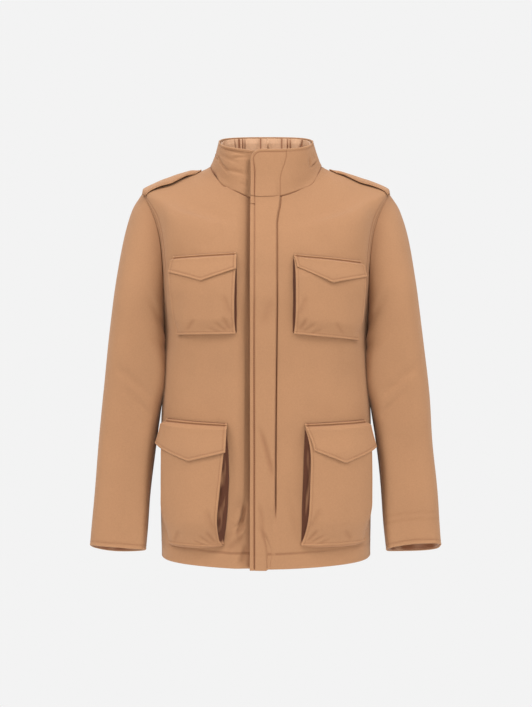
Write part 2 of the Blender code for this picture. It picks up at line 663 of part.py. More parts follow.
def build_gusset(pocket, finish):
    """The bellows round the bag's two sides and bottom, from the front up to the bag's edge."""
    down = np.linspace(1, 0, POCKET_STEPS)
    bottom = np.linspace(-1, 1, POCKET_STEPS)[1:-1]
    u = np.concatenate([-np.ones(POCKET_STEPS), bottom, np.ones(POCKET_STEPS)])
    v = np.concatenate([down, np.zeros(len(bottom)), down[::-1]])
    reach = pocket_stand(pocket, u, v) - SHELL - LAP_GAP / 2
    grids = []
    for inset in (GUSSET_INSET, GUSSET_INSET + LIGHT):
        foot = pocket_point(pocket, u, v, LAP_GAP, inset, leaning=False)
        upright = pocket_point(pocket, u, v, reach * BELLOWS_LOW, inset, leaning=False)
        bend = pocket_point(pocket, u, v, reach * BELLOWS_HIGH, inset)
        edge = pocket_point(pocket, u, v, reach, inset)
        fold = upright + (bend - upright) * BELLOWS_SHARE
        grids.append(np.stack([foot, fold, bend, edge]))
    outside, inside = (facing_out(grid, -pocket["side"]) for grid in grids)
    build_wall(pocket["name"] + "_gusset", outside, inside, finish)


def build_flap(pocket, finish):
    """A flap with a pointed lower edge, from its seam on the front over the bag's mouth."""
    u, row = np.meshgrid(np.linspace(-1, 1, POCKET_STEPS), np.arange(7)[::-1])
    inner, outer = pocket["flap_inner"], pocket["flap_outer"]
    side = inner + (outer - inner) * (u + 1) / 2
    drop = side + (pocket["flap_point"] - (inner + outer) / 2) * (1 - np.abs(u))
    below_seam = np.where(row < 2, FLAP_RISE * row, FLAP_RISE + (drop - FLAP_RISE) * (row - 1) / 5)
    tall = pocket["high_inner"] - pocket["low_inner"]
    v = 1 + (FLAP_ABOVE - below_seam) / tall
    across, height = pocket_place(pocket, u, v)
    wider = np.where(u < 0, pocket["over_inner"], pocket["over_outer"]) * (row / 6) * u
    bulge = pocket["bulge"] * (1 - u) / 2 * np.sin(math.pi * np.clip(v, 0, 1))
    across = across + pocket_lean(pocket, u, v) - bulge + wider
    seam = SHELL + LAP_GAP
    out = np.where(row > 0, pocket_stand(pocket, u, np.minimum(v, 1.0)) + seam, seam)
    outside = on_front(pocket["side"], across, height, out)
    inside = on_front(pocket["side"], across, height, out - SHELL)
    outside, inside = (facing_out(grid, pocket["side"]) for grid in (outside, inside))
    build_wall(pocket["name"] + "_flap", outside, inside, finish)


# ---------------------------------------------------------------- shoulder straps
def nearness(points):
    """Rises as points near the neck's axis."""
    return -np.hypot(points[..., 0], points[..., 1])


def build_strap(strap, finish):
    """A strap from the armhole seam towards the neck, its free end a blunt point."""
    along, aside = np.meshgrid(np.linspace(0, 1, 13), np.linspace(-1, 1, 6))
    inner_end = strap["inner_x"] + STRAP_POINT * aside**2
    x = STRAP_OUTER + (inner_end - STRAP_OUTER) * along
    middle_y = (strap["front_y"] + strap["back_y"]) / 2 + strap["swing"] * along
    y = middle_y + (strap["back_y"] - strap["front_y"]) / 2 * aside
    angle = np.arctan2(x, -y)
    level = level_where(angle, nearness(np.stack([x, y], axis=-1)), SHOULDER, NECK, nearness)
    tip = 1 - STRAP_TIP * ease((along - STRAP_TIP_FROM) / (1 - STRAP_TIP_FROM))
    stand = strap["lift"] * ease(along * 2.5) * tip * (1 - STRAP_CROWN * aside**2)
    lift = SHELL + LAP_GAP + stand
    outside = flip(skin(angle, level, lift), strap["side"])
    inside = flip(skin(angle, level, lift - SHELL), strap["side"])
    build_wall(strap["name"], outside, inside, finish)


# ---------------------------------------------------------------- the jacket
def main():
    for item in list(bpy.data.objects):
        bpy.data.objects.remove(item, do_unlink=True)
    shell = material("camel_cloth", CAMEL, 0.80)
    inner_cloth = material("camel_gusset", CAMEL_SHADE, 0.75)
    satin = material("camel_lining", CAMEL_SATIN, 0.42)

    build_back("back", shell)
    for side, hand in ((-1, "right"), (1, "left")):
        build_front(hand + "_front", side, shell)
        for piece, stations in SLEEVE_PIECES:
            build_sleeve(hand + "_" + piece, side, stations, shell)
        build_cuff_lining(hand + "_cuff_lining", side, satin)
    for row in STRAP_ROWS:
        build_strap(dict(zip(STRAP_COLUMNS, row)), shell)
    build_placket("placket", shell)
    build_collar("collar", shell)
    build_collar_tab("collar_tab", shell)
    build_collar_lining("collar_lining", satin)
    for row in POCKET_ROWS:
        pocket = dict(zip(POCKET_COLUMNS, row))
        build_bag(pocket, shell)
        build_gusset(pocket, inner_cloth)
        build_flap(pocket, shell)


main()
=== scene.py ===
import math

import bmesh
import bpy
import numpy as np
from mathutils import Matrix, Vector


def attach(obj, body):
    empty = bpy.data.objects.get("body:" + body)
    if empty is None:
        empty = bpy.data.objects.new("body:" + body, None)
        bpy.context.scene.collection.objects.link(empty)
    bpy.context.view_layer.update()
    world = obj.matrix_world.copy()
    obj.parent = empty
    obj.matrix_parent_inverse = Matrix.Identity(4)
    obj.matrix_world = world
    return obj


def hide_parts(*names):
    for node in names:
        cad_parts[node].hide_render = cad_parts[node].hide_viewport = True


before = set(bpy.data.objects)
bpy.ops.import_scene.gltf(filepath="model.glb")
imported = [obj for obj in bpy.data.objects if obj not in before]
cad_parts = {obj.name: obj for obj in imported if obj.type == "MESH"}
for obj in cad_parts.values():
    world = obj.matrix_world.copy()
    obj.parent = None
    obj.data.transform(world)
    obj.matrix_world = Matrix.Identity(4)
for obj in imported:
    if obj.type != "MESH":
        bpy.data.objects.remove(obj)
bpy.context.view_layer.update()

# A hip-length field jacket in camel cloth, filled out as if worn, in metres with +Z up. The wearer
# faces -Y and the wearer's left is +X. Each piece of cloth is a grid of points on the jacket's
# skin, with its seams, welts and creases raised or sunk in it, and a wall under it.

# ---------------- sizes, most of them shared with the solids
SHELL = 0.0022  # wall of the shell cloth with its backing
LIGHT = 0.0014  # wall of a gusset and of the cuff lining
LAP_GAP = 0.0009  # between a piece and what it lies on
STEP = 1e-4  # step of the slopes
QUARTER, FULL = math.pi / 2, 2 * math.pi

BODY_COLUMNS = (
    "level", "side_x", "front_y", "back_y", "side_z", "front_z", "back_z", "square", "tilt",
)
BODY_ROWS = (
    (0.000, 0.1915, 0.146, 0.136, -0.7095, -0.7205, -0.718, 2.5, 0.0),  # hem
    (0.110, 0.1925, 0.149, 0.138, -0.602, -0.610, -0.607, 2.5, 0.0),  # lower pockets
    (0.210, 0.1930, 0.147, 0.134, -0.502, -0.507, -0.505, 2.4, 0.0),  # hips
    (0.320, 0.1900, 0.145, 0.129, -0.392, -0.394, -0.394, 2.4, 0.0),  # waist
    (0.407, 0.1890, 0.149, 0.134, -0.305, -0.309, -0.308, 2.4, 0.0),  # underarm
    (0.480, 0.1995, 0.150, 0.140, -0.232, -0.250, -0.236, 2.3, 0.0),  # chest
    (0.570, 0.2150, 0.140, 0.136, -0.140, -0.192, -0.155, 2.2, 0.0),  # upper chest
    (0.660, 0.2280, 0.122, 0.112, -0.047, -0.136, -0.086, 2.2, 0.4),  # shoulder point
    (0.720, 0.1720, 0.107, 0.095, -0.023, -0.101, -0.047, 2.2, 1.0),  # middle of the shoulder
    (0.785, 0.1035, 0.092, 0.079, 0.003, -0.064, -0.018, 2.1, 1.0),  # neck seam
    (0.825, 0.0945, 0.086, 0.077, 0.023, -0.027, 0.020, 2.4, 1.0),  # collar
    (0.875, 0.0860, 0.080, 0.076, 0.0515, 0.0240, 0.069, 2.9, 1.0),  # top of the collar
)
UNDERARM, SHOULDER, NECK, COLLAR_TOP = 0.407, 0.660, 0.785, 0.875
TO_SHOULDER = 8  # rows of the body from the hem up to the shoulder point
NECK_RADIUS = 0.095  # for distances round the collar
FRONT_FULLER, CHEST_FULLER, SLEEVE_FULLER = 0.6, 0.9, 0.9  # added to how square a section is
HIPS_TOP, HIPS_FADE = 0.42, 0.10  # the front is fuller below this level
CHEST_TOP, CHEST_FADE = 0.76, 0.14  # the chest is fuller from there up to this level,
CHEST_COSINE = 0.32  # inside the angle with this cosine
RIDGE_NECK, RIDGE_RIM = 0.45, 0.08  # how softly the tilted planes of neck and rim meet
ARMHOLE_FRONT, ARMHOLE_BACK = math.radians(22.4), math.radians(21.0)  # their half widths

FLY_EDGE, LEFT_EDGE, UNDERLAP = -0.0285, -0.0235, 0.0170  # x of the three edges at the centre
FLY_SEAM_LOW, FLY_SEAM, FLY_SEAM_NECK, TAB_SEAM_TOP = 0.0163, 0.0193, 0.0262, 0.0378  # x, going up
FLY_LEAN_FROM, FLY_LEAN_OVER = 0.15, 0.40  # levels over which the fly's seam leans out,
FLY_TURN_FROM, FLY_TURN_OVER = 0.695, 0.090  # turns out under the neck,
TAB_LEAN_FROM, TAB_LEAN_OVER = 0.035, 0.045  # and leans out again, from the neck up
DIP, DIP_START, DIP_WIDTH = 0.0062, -0.054, 0.026  # the right front sinks under the fly
FLY_TOP, FLY_WIDE = 0.7846, 0.047  # level of the fly's top, and the width its columns are made for
FLY_DROP, FLY_DROP_TALL = 0.0018, 0.03  # its foot hangs, below this level
FLY_DROP_END, FLY_DROP_FADE = 0.0045, 0.003  # and up to this x
FLY_LINE = 0.0080  # distance of the fly's sewn line from its free edge
NOTCH_LEVEL, NOTCH_WIDTH, NOTCH_DEPTH = 0.761, 0.0010, 0.0016  # a small notch in that edge
NOTCH_ROWS = np.array([-0.0024, -0.0015, -0.0008, 0.0, 0.0008, 0.0015, 0.0024])
COLLAR_UNDERLAP, TAB_RADIUS = 0.0100, 0.020
TAB_WIDE, TAB_TALL = 0.060, 0.090  # sizes that the tab's columns and rows are made for
TAB_LINE_TOP = 0.0052  # distance of the sewn line from the tab's top edge
COLLAR_LINE = 0.0052  # distance of the sewn line from the collar's rim
COLLAR_ROUND, COLLAR_STEP = 0.54, 0.0022  # length its columns are made for, and their spacing
NECK_DROP, NECK_DROP_AT, NECK_DROP_WIDTH = 0.0110, 0.088, 0.020  # the seam hangs at its sides,
NECK_DROP_LEFT = 0.75  # but by this share of it on the wearer's left
LOOP_X, LOOP_Z, LOOP_OUT = -0.0325, -0.631, -0.0105
LOOP_WIDE, LOOP_TALL, LOOP_LINE = 0.0072, 0.047, 0.0275  # the line crosses it above its foot

FOLD_COLUMNS = ("x_low", "z_low", "x_high", "z_high", "half_width", "height")
FOLD_ROWS = (
    (-0.041, -0.700, -0.036, -0.270, 0.010, -0.0060),  # trough beside the fly
    (-0.085, -0.690, -0.043, -0.600, 0.012, -0.0040),  # drag line from its foot
    (-0.150, -0.240, -0.168, -0.340, 0.012, -0.0030),  # under the right armhole
    (0.150, -0.240, 0.168, -0.340, 0.012, -0.0025),
)

SLEEVE_COLUMNS = (
    "along", "outer_x", "outer_z", "inner_x", "inner_z", "front_y", "back_y", "lean", "square",
)
SLEEVE_ROWS = (
    (0.00, 0.228, -0.047, 0.189, -0.305, -0.083, 0.083, 0.000, 2.0),  # armhole
    (0.05, 0.247, -0.078, 0.184, -0.322, -0.087, 0.087, 0.000, 2.1),
    (0.12, 0.261, -0.128, 0.178, -0.341, -0.091, 0.088, 0.000, 2.2),
    (0.22, 0.271, -0.190, 0.176, -0.364, -0.092, 0.085, 0.000, 2.3),
    (0.34, 0.281, -0.262, 0.178, -0.398, -0.089, 0.078, 0.000, 2.4),
    (0.46, 0.290, -0.335, 0.190, -0.441, -0.085, 0.070, 0.002, 2.4),  # elbow
    (0.58, 0.297, -0.410, 0.199, -0.488, -0.082, 0.060, 0.006, 2.4),
    (0.70, 0.303, -0.487, 0.2050, -0.540, -0.082, 0.046, 0.011, 2.4),
    (0.82, 0.309, -0.565, 0.2098, -0.598, -0.084, 0.028, 0.016, 2.4),
    (0.92, 0.314, -0.637, 0.2130, -0.652, -0.086, 0.010, 0.020, 2.4),
    (1.00, 0.318, -0.693, 0.2165, -0.6955, -0.087, -0.005, 0.023, 2.4),  # cuff
)
CAP_FADE = 0.30  # share of the sleeve over which it grows out of the armhole's edge
SLEEVE_FOLD = 0.022  # how far forward the sleeve's inner side lies
SLEEVE_CLEAR, SLEEVE_SOFT = 0.0012, 0.004  # its gap to the body, and how softly it is kept
CLEAR_FADE = 0.04  # share of the sleeve over which that gap opens
PRESS_TOP, PRESS_FADE = -0.120, 0.080  # heights over which the body begins to press on it
UNDERARM_Z, UNDERARM_FADE = -0.305, 0.020  # below this height the sleeve keeps its gap
SLEEVE_LENGTH, SLEEVE_ROUND = 0.66, 0.44  # of the cloth, along and round at the elbow
CUFF_OPENING = {-1: 0.80, 1: 1.04}  # share of the lean that each hand's cuff has
CUFF_SAG = {-1: 0.0050, 1: 0.0014}  # how far the middle of each cuff's rim hangs
CUFF_DIP = 0.0050  # how far the rim's inner front hangs, of the most
CUFF_FROM, CUFF_FADE = 0.8, 0.2  # share of the sleeve where this starts, and over which it grows
CUFF_HEM, CUFF_LINES = 0.0075, (0.045, 0.057)  # sewn lines, from the rim

POCKET_COLUMNS = (
    "name", "side", "inner_low", "inner_high", "outer_low", "outer_high",
    "low_inner", "low_outer", "high_inner", "high_outer",
    "stand", "lean", "lean_at", "lean_flat", "bulge",
    "flap_inner", "flap_point", "flap_outer", "over_inner", "over_outer",
    "narrow", "tuck", "sag", "under", "top_line_shade",
)
POCKET_ROWS = (
    ("right_chest", -1, 0.0514, 0.0518, 0.1649, 0.1705,
     -0.3090, -0.3102, -0.1752, -0.1809,
     0.0120, 0.003, 0.30, 2, 0.000,
     0.0330, 0.0510, 0.0300, 0.001, -0.001, 0.005, -0.0014, 0.0, 0.006, 0.0),
    ("left_chest", 1, 0.0479, 0.0488, 0.1750, 0.1755,
     -0.3090, -0.3202, -0.1782, -0.1888,
     0.0120, 0.003, 0.50, 4, 0.000,
     0.0265, 0.0480, 0.0285, -0.004, 0.001, 0.005, -0.0022, 0.0, 0.006, 0.0),
    ("right_lower", -1, 0.0733, 0.0675, 0.1840, 0.1835,
     -0.6786, -0.6790, -0.4743, -0.4681,
     0.0200, 0.015, 0.29, 2, 0.006,
     0.0510, 0.0695, 0.0440, 0.003, 0.017, -0.006, 0.0, 0.004, 0.0, 0.8),
    ("left_lower", 1, 0.0600, 0.0670, 0.1872, 0.1880,
     -0.6777, -0.6766, -0.4748, -0.4701,
     0.0190, 0.011, 0.50, 4, 0.000,
     0.0470, 0.0720, 0.0490, -0.006, 0.012, 0.000, 0.0, 0.004, 0.0, 0.8),
)
POCKET_WIDE = 0.12  # width that the columns of bags, gussets and flaps are made for
POCKET_STEP, GUSSET_STEP = 0.0024, 0.003  # spacing of their points
POCKET_EDGES, BAG_LINE, FLAP_LINE = ("left", "right", "low"), 0.0045, 0.0055  # turned and sewn
BAG_TACK, TACK_TALL = 0.72, 0.35  # how much of its stand the bag loses at its lower corners,
BAG_MOUTH, MOUTH_TALL = 0.35, 0.25  # how much at its mouth,
BAG_FOOT, FOOT_TALL = 0.55, 0.22  # how much it has at its foot,
BAG_CROWN = 0.10  # and how much more in its middle
BAG_PUCKERS = (  # creases in millimetres from the bag's inner edge and its bottom
    (6, 4, 22, 34, 0, 2.2, 4, -1.6),
    (12, 3, 38, 24, 0, 2, 3.4, -1.2),
    (26, 3, 50, 13, 0, 2, 3.2, -0.9),
    (4, 30, 20, 74, 0, 3, 6, -1),
    (92, 4, 70, 30, 0, 4, 3, -1.2),
)
FLAP_ABOVE = 0.010  # of the flap's seam over the bag's top
FLAP_RISE, FLAP_STEP = 0.007, 0.26  # the flap rises from the front, this share of it as a step
FLAP_ROWS, FLAP_TALL = 6, 0.05  # a measure down the flap, and the height its rows are made for
FLAP_BAND, FLAP_BAND_WIDTH = 0.0048, 0.0011  # the sunk line under its seam
GUSSET_INSET, GUSSET_FOLD = 0.0012, 0.009  # how far its edge and its middle lie under the bag
GUSSET_ROWS, CRUMPLE = 16, 0.0026  # and the height of its crumples
GUSSET_SHADE, CRUMPLE_SHADE = 0.64, 0.6  # its painted shade, and how much its crumples vary that shade
LEAN_FROM, LEAN_OVER = 0.15, 0.6  # shares of its width over which it leans with the bag

HEM = 0.027  # height of the hem's sewn line
ARMHOLE_LINES = (0.0060, 0.0175)  # distances of the sewn lines from the armhole
FAN = 0.19  # width of cloth that a front's outer columns are made for
BACK_ROUND, BACK_STEP = 0.47, 0.0040  # and a back's, with the spacing of its points
SECOND_LINE = np.arange(0.0125, 0.0265, 0.0015)  # columns of the fronts at the second of them
BESIDE_FLY = np.arange(-0.0024, 0.0350, 0.0012)  # columns of the right front beside the fly
BESIDE_SEAM = np.arange(-0.0030, 0.0080, 0.0005)  # columns of the left front beside its seam
FLY_OPEN_LOW, FLY_OPEN_FADE = 0.078, 0.045  # the seam ends above the hem
SLIT_AT, SLIT_WIDTH, SLIT_DEPTH = 0.0007, 0.0010, 0.0024  # the dark line along the fly's seam: a sunk slit with painted shade in it

STRAP_COLUMNS = ("name", "side", "front_y", "back_y", "swing", "inner_x", "lift")
STRAP_ROWS = (
    ("right_epaulette", -1, -0.037, 0.015, 0.007, 0.118, 0.0046),
    ("left_epaulette", 1, -0.033, 0.019, 0.008, 0.116, 0.0026),
)
STRAP_LONG, STRAP_WIDE, STRAP_STEP = 0.10, 0.052, 0.0022  # sizes its points are made for
STRAP_OUTER, STRAP_POINT = 0.2245, 0.013  # x of its sewn end, and the length of its point
STRAP_SPREAD = 0.4  # share of it over which it narrows and rises from the sewn end
STRAP_CROWN = 0.5  # share of the lift that it loses at its long edges,
STRAP_TIP, STRAP_TIP_FROM = 1.15, 0.80  # and at its tip, from this share of it on
STRAP_FLARE = 0.004  # how much wider it is at its sewn end, to each side
STRAP_TAPER, STRAP_TAPER_FROM = 0.009, 0.55  # how much its front edge comes in by the tip
STRAP_LINE = 0.0050  # distance of the sewn line from its edges

CHANNEL_LINE, CHANNEL_TURN = 2.754, 0.524  # where one sewn channel line is, and their pitch
PUFF, VALLEY, PUFF_POWER = 0.0052, 0.0016, 0.6  # thickness between the lines and at them
GATHER, THINNEST = 0.0009, 0.0008  # height of the gathers, and the least thickness
LINING_LEFT, LINING_RIGHT = 0.026, 0.062  # x of the lining's two ends
LINING_LOW, LINING_HIGH, LINING_RADIUS = 0.796, 0.8715, 0.085  # two levels, and for lengths
CUFF_LINING_FROM, CUFF_LINING_TO = 0.88, 0.997  # shares of the sleeve
CUFF_RIPPLE = 0.0018  # height of its ripples

# ---------------- sewing
EDGE_STEPS = np.array([0.0, 0.5, 1.1, 1.8, 2.6, 3.5, 4.4, 5.2, 6.1, 7.2, 8.6]) / 1000
GRAIN, FINE_GRAIN = 0.0036, 0.0020  # spacing of points away from seams and edges
GROOVE, GROOVE_WIDTH = 0.00050, 0.0010  # depth and half width of a sewn line
WIDE_GROOVE = {"depth": 0.0004, "width": 0.0026}  # of one on the armhole or the sleeve
FINE_WELT = {"height": 0.0002}  # of a hem
GROOVE_SHADE, SEAM_SHADE = 0.3, 0.6  # how deep the painted shade is in a sewn line and in a seam
FINE_GROOVE = 0.00018  # depth of the line behind a turned edge
CREASE_SHADE = 0.032  # a trough of this depth would have the full painted shade,
FINE_CREASE_SHADE = 0.006  # and so would one of this depth on the fly or a bag,
PUCKER_SHADE = 0.009  # and one of this depth among the right front's puckers
# the deepest painted shade that a crease's trough gets on each kind of piece
DARKEST = {"front": -0.4, "back": -0.35, "sleeve": -0.3, "placket": -0.35, "bag": -0.3}
RIM = 0.0016  # distance of a turned edge's ridge from its end
ROLL = 0.6  # width of the roll at that end, of its depth
STITCH, STITCH_GAP, THREAD = 0.0024, 0.0009, 0.00030  # length, gap and radius of a stitch

# ---------------- creases
# A crease runs between two points of its cloth, bowed to one side, with a half width on its left
# and one on its right. Its height is negative for a trough. Here lengths are in millimetres: on the
# fronts and the back across is x and along is z.
FRONT_CREASES = {
    -1: (
        # across and along at the low end, the same at the high end, bow, left, right, height
        (-24, -1000, -24, 250, 0, 12, 30, -4),  # dives under the fly
        (-23.5, -640, -23.5, -380, 0, 7, 30, -2.6),
        (-23.5, -600, -23.5, -130, 0, 8, 30, -1.6),
        (-24, -820, -24, -640, 0, 12, 30, 2.2),
        (-42, -760, -37, -220, 0, 10, 10, 4.5),  # so the trough stays narrow
        (-70, -46, -100, -3, 0, 3, 4, -7),  # deep, by the neck
        (-52, -668, -36, -604, 2, 4, 3, -3.4),  # from the loop's foot
        (-64, -652, -36, -626, 3, 3, 3, -2.8),
        (-88, -672, -38, -640, 2, 5, 5, -2),
        (-60, -700, -40, -655, 4, 5, 6, -1.6),
        (-66, -560, -50, -380, 3, 16, 12, 1.6),  # roll beside the trough
        (-118, -165, -60, -100, 6, 18, 16, -1.8),  # towards the neck
        (-185, -215, -150, -140, 4, 12, 12, -1.6),
        (-150, -400, -135, -330, 4, 14, 12, -1.2),
        (-120, -455, -60, -420, 4, 14, 12, -1),
        (-150, -712, -110, -688, 2, 8, 6, -1.2),
    ),
    1: (
        (60, -680, 28, -550, 4, 8, 7, -2.6),  # beside the pocket
        (44, -600, 30, -480, 3, 14, 10, 1.2),
        (118, -165, 60, -100, -6, 16, 18, -1.8),
        (185, -215, 150, -140, -4, 12, 12, -1.6),
        (150, -400, 130, -325, -4, 12, 14, -1.2),
        (130, -455, 60, -430, -4, 12, 14, -1),
        (160, -708, 120, -690, 2, 8, 6, -1),
    ),
}
BACK_CREASES = (
    (-165, -330, -60, -200, 10, 18, 14, -5),
    (165, -320, 70, -190, -10, 14, 18, -4.6),
    (-120, -520, -80, -330, 6, 20, 16, -4),
    (118, -540, 90, -350, -6, 16, 22, -4.2),
    (-30, -700, -18, -470, 5, 22, 18, -3.4),
    (45, -700, 30, -500, -4, 18, 22, -3),
    (-80, -65, 75, -70, 10, 12, 16, -3),
)
# Round the sleeve, across is 0 at the underarm seam and grows to the front; along grows from
# the armhole to the cuff.
SLEEVE_CREASES = (
    (30, 20, 120, 110, 4, 12, 10, -2.6),
    (20, 60, 105, 190, 6, 12, 12, -2.2),
    (390, 30, 330, 130, 4, 14, 12, -2.6),
    (410, 80, 350, 210, 4, 14, 12, -2.2),
    (60, 290, 150, 330, 4, 10, 12, -1.8),
    (50, 350, 125, 345, 3, 10, 10, -1.6),
    (300, 300, 380, 330, 5, 14, 12, -2.2),
    (120, 420, 150, 580, 5, 16, 14, -1.4),
    (270, 430, 260, 600, 6, 18, 14, -1.4),
)
# Round the collar, across is 0 at the centre front and grows to the wearer's left, negative on
# the right; along is the height above the neck seam.
COLLAR_CREASES = (
    (-33, -60, -33, 150, 0, 6, 12, -3.4),  # dives under the tab
    (-116, 54, -70, 32, -1.5, 3.4, 2, -4.6),  # a sagging fold
    (-88, 36, -30, 40, -5, 5, 3, -2.6),
    (-108, 64, -50, 60, -3, 5, 3, -2),
    (-108, 78, -30, 78, -4, 3.4, 2.6, -3),  # under the rim
    (-72, 66, -30, 76, -3, 2.5, 2.5, -2.2),
    (-156, 50, -92, 55, 2, 2.2, 2.2, -3.4),
    (-156, 36, -100, 48, 1, 2.2, 2.2, -3),
    (-52, 24, -34, 20, 1, 3, 3, -1),
    (94, 64, 96, 34, 1, 1.8, 2.2, -3.6),
    (90, 37, 126, 28, -1, 1.8, 1.8, -4.2),
    (108, 70, 118, 40, 1, 2.6, 2.6, -1.4),
    (200, 20, 280, 60, 4, 8, 8, -1.4),
    (-280, 60, -200, 25, 4, 8, 8, -1.4),
)
# Round the lining, across is 0 at the centre back and grows to the wearer's right.
LINING_CREASES = (
    (46, 0, 48, 110, 1, 1.1, 1.1, -4),
    (42.5, 0, 43.7, 100, 1, 1, 1, -3.6),
    (50, 10, 55, 106, 1, 1.1, 1.3, -3.4),
    (56, 16, 66, 100, 2, 1.2, 1.4, -3),
    (-50, 0, -44, 106, 1, 1.3, 1.3, -3.6),
    (-57, 10, -49, 100, 1, 1.3, 1.5, -3.2),
    (-64, 40, -80, 90, 1, 1.8, 1.8, -3),
    (-12, 20, -4, 100, 0, 1.6, 1.6, 2.4),
    (4, 20, -5, 100, 0, 1.6, 1.6, 2.4),
    (-4, 20, -4.5, 80, 0, 1.4, 1.4, -2.6),
    (86, 50, 108, 80, 1, 1.8, 1.8, -3.4),
)
# Puckers of the right front, as its own creases, below the loop beside the fly.
FLY_PUCKERS = (
    (-46, -650, -37, -600, 2, 5, 4, -3.2),
    (-56, -662, -35, -636, 3, 4.5, 3, -2.4),
    (-72, -690, -36, -655, 2, 7, 5, -2.4),
    (-47, -716, -34, -674, 2, 6, 5, -2),
)
# On the fly across is x and along is z.
FLY_CREASES = (
    (13.5, -572, -15, -462, 3, 4, 4, -2),
    (8, -712, -12, -640, 4, 4, 3, -2.6),
    (4.5, -740, 3, -690, 0, 2, 3, -3),
    (-6, -660, -13, -600, 2, 4, 4, -1.2),
    (-10, -300, 12, -240, 2, 8, 8, -0.8),
)

UNEVEN = {  # height and size of the humps of each piece, and what their random draw starts from
    "front": (0.0005, 0.07, 3),
    "back": (0.0006, 0.08, 5),
    "sleeve": (0.0006, 0.08, 7),
    "placket": (0.0003, 0.05, 11),
    "collar": (0.0004, 0.04, 13),
    "collar_tab": (0.0003, 0.04, 17),
    "bag": (0.0005, 0.05, 31),
    "flap": (0.0003, 0.04, 51),
    "epaulette": (0.0003, 0.03, 61),
}

# ---------------- colours
CAMEL = (0.345, 0.174, 0.084)
# a slightly darker, redder copy of the camel, as painted shade on the gussets and the insides
CAMEL_PAINTED_SHADE = (0.330, 0.160, 0.076)
CAMEL_SATIN = (0.520, 0.300, 0.175)
THREAD_COLOUR = (0.360, 0.180, 0.088)
PAPER = (0.896, 0.896, 0.896)
PAINTED_SHADE_TINT = (0.44, 0.28, 0.20)  # what the cloth's colour is multiplied by where its painted shade is full, as deep in a seam
# the same for the gusset's painted shade
GUSSET_SHADE_TINT = (0.24, 0.14, 0.10)
EDGE_HIGHLIGHT = 1.05  # and how much lighter the painted highlight on a turned edge's ridge makes it


# ---------------- curves
def columns(rows, names):
    """The table's columns by name, as arrays."""
    return {name: np.array([row[i] for row in rows]) for i, name in enumerate(names)}


def smooth_through(x, knots, values):
    """The value at x of a smooth curve through the knots that never overshoots them."""
    gaps = np.diff(knots)
    secants = np.diff(values) / gaps
    slopes = np.empty(len(knots))
    slopes[0], slopes[-1] = secants[0], secants[-1]
    before, after = secants[:-1], secants[1:]
    same_way = before * after > 0
    total = np.where(same_way, before + after, 1.0)
    slopes[1:-1] = np.where(same_way, 2 * before * after / total, 0.0)
    x = np.clip(x, knots[0], knots[-1])
    i = np.clip(np.searchsorted(knots, x, side="right") - 1, 0, len(gaps) - 1)
    t = (x - knots[i]) / gaps[i]
    rise = values[i] * (1 + 2 * t) * (1 - t) ** 2 + values[i + 1] * t**2 * (3 - 2 * t)
    return rise + gaps[i] * (slopes[i] * t * (1 - t) ** 2 - slopes[i + 1] * t**2 * (1 - t))


def ease(t):
    """0 below 0, 1 above 1, and a smooth step between."""
    t = np.clip(t, 0.0, 1.0)
    return t * t * (3 - 2 * t)


def bell(t):
    return np.exp(-(t**2))


def unit(vectors):
    return vectors / np.maximum(np.linalg.norm(vectors, axis=-1, keepdims=True), 1e-12)


def between(place, places, points):
    """The point at one place, of points that are known at these places."""
    return np.array([np.interp(place, places, points[:, k]) for k in range(3)])


def unevenness(points, size, seed, upright=1.0):
    """A soft irregular swell of about -1 to 1, with humps of the given size that are drawn out
    upwards where upright is less than 1."""
    points = points * np.array([1.0, 1.0, upright])
    draw = np.random.default_rng(seed)
    swell = np.zeros(points.shape[:-1])
    for _ in range(10):
        way = unit(draw.normal(size=3)) * FULL / (size * draw.uniform(1.4, 3.0))
        swell += np.sin(points @ way + draw.uniform(0, FULL))
    return swell / 3.2


def soft_swell(kind, points, side=0):
    """The slight unevenness of a kind of piece, another on each side."""
    height, size, seed = UNEVEN[kind]
    return height * unevenness(points, size, seed + side)


BODY = columns(BODY_ROWS, BODY_COLUMNS)
SOFT_LEVELS = np.linspace(0.0, COLLAR_TOP, 876)  # one for each millimetre
SOFT_REACH = 0.034  # how far up and down the shoulder's turn is spread over the chest
SOFT_WINDOW = 110  # levels up and down that count
SOFT_LOW, SOFT_LOW_FADE = 0.50, 0.08  # it is spread from here
SOFT_HIGH, SOFT_HIGH_FADE = NECK - 0.01, 0.06  # to here,
SOFT_COSINE = 0.5  # and in full inside the angle with this cosine
SLEEVE = columns(SLEEVE_ROWS, SLEEVE_COLUMNS)
FOLDS = columns(FOLD_ROWS, FOLD_COLUMNS)


# ---------------- the skin
def body_value(name, level):
    return smooth_through(level, BODY["level"], BODY[name])


def body_power(angle, level):
    """How square the section is: fuller in front, all round below the armholes and away from the
    side above their foot."""
    cosine = np.cos(angle)
    inside = ease((cosine - CHEST_COSINE) / CHEST_COSINE)
    low = ease((HIPS_TOP - level) / HIPS_FADE)
    chest = ease((CHEST_TOP - level) / CHEST_FADE) * (1 - low)
    fuller = FRONT_FULLER * low + CHEST_FULLER * chest * inside
    return body_value("square", level) + fuller * (cosine > 0)


def spread(name):
    """A column of the body over all levels, with the shoulder's turn spread out."""
    values = body_value(name, SOFT_LEVELS)
    reach = np.arange(-SOFT_WINDOW, SOFT_WINDOW + 1) / 1000
    weights = bell(reach / SOFT_REACH)
    padded = np.pad(values, SOFT_WINDOW, mode="edge")
    soft = np.convolve(padded, weights / weights.sum(), mode="valid")
    share = ease((SOFT_LEVELS - SOFT_LOW) / SOFT_LOW_FADE)
    return values + (soft - values) * share * ease((SOFT_HIGH - SOFT_LEVELS) / SOFT_HIGH_FADE)


SOFT_X, SOFT_Z = spread("side_x"), spread("side_z")


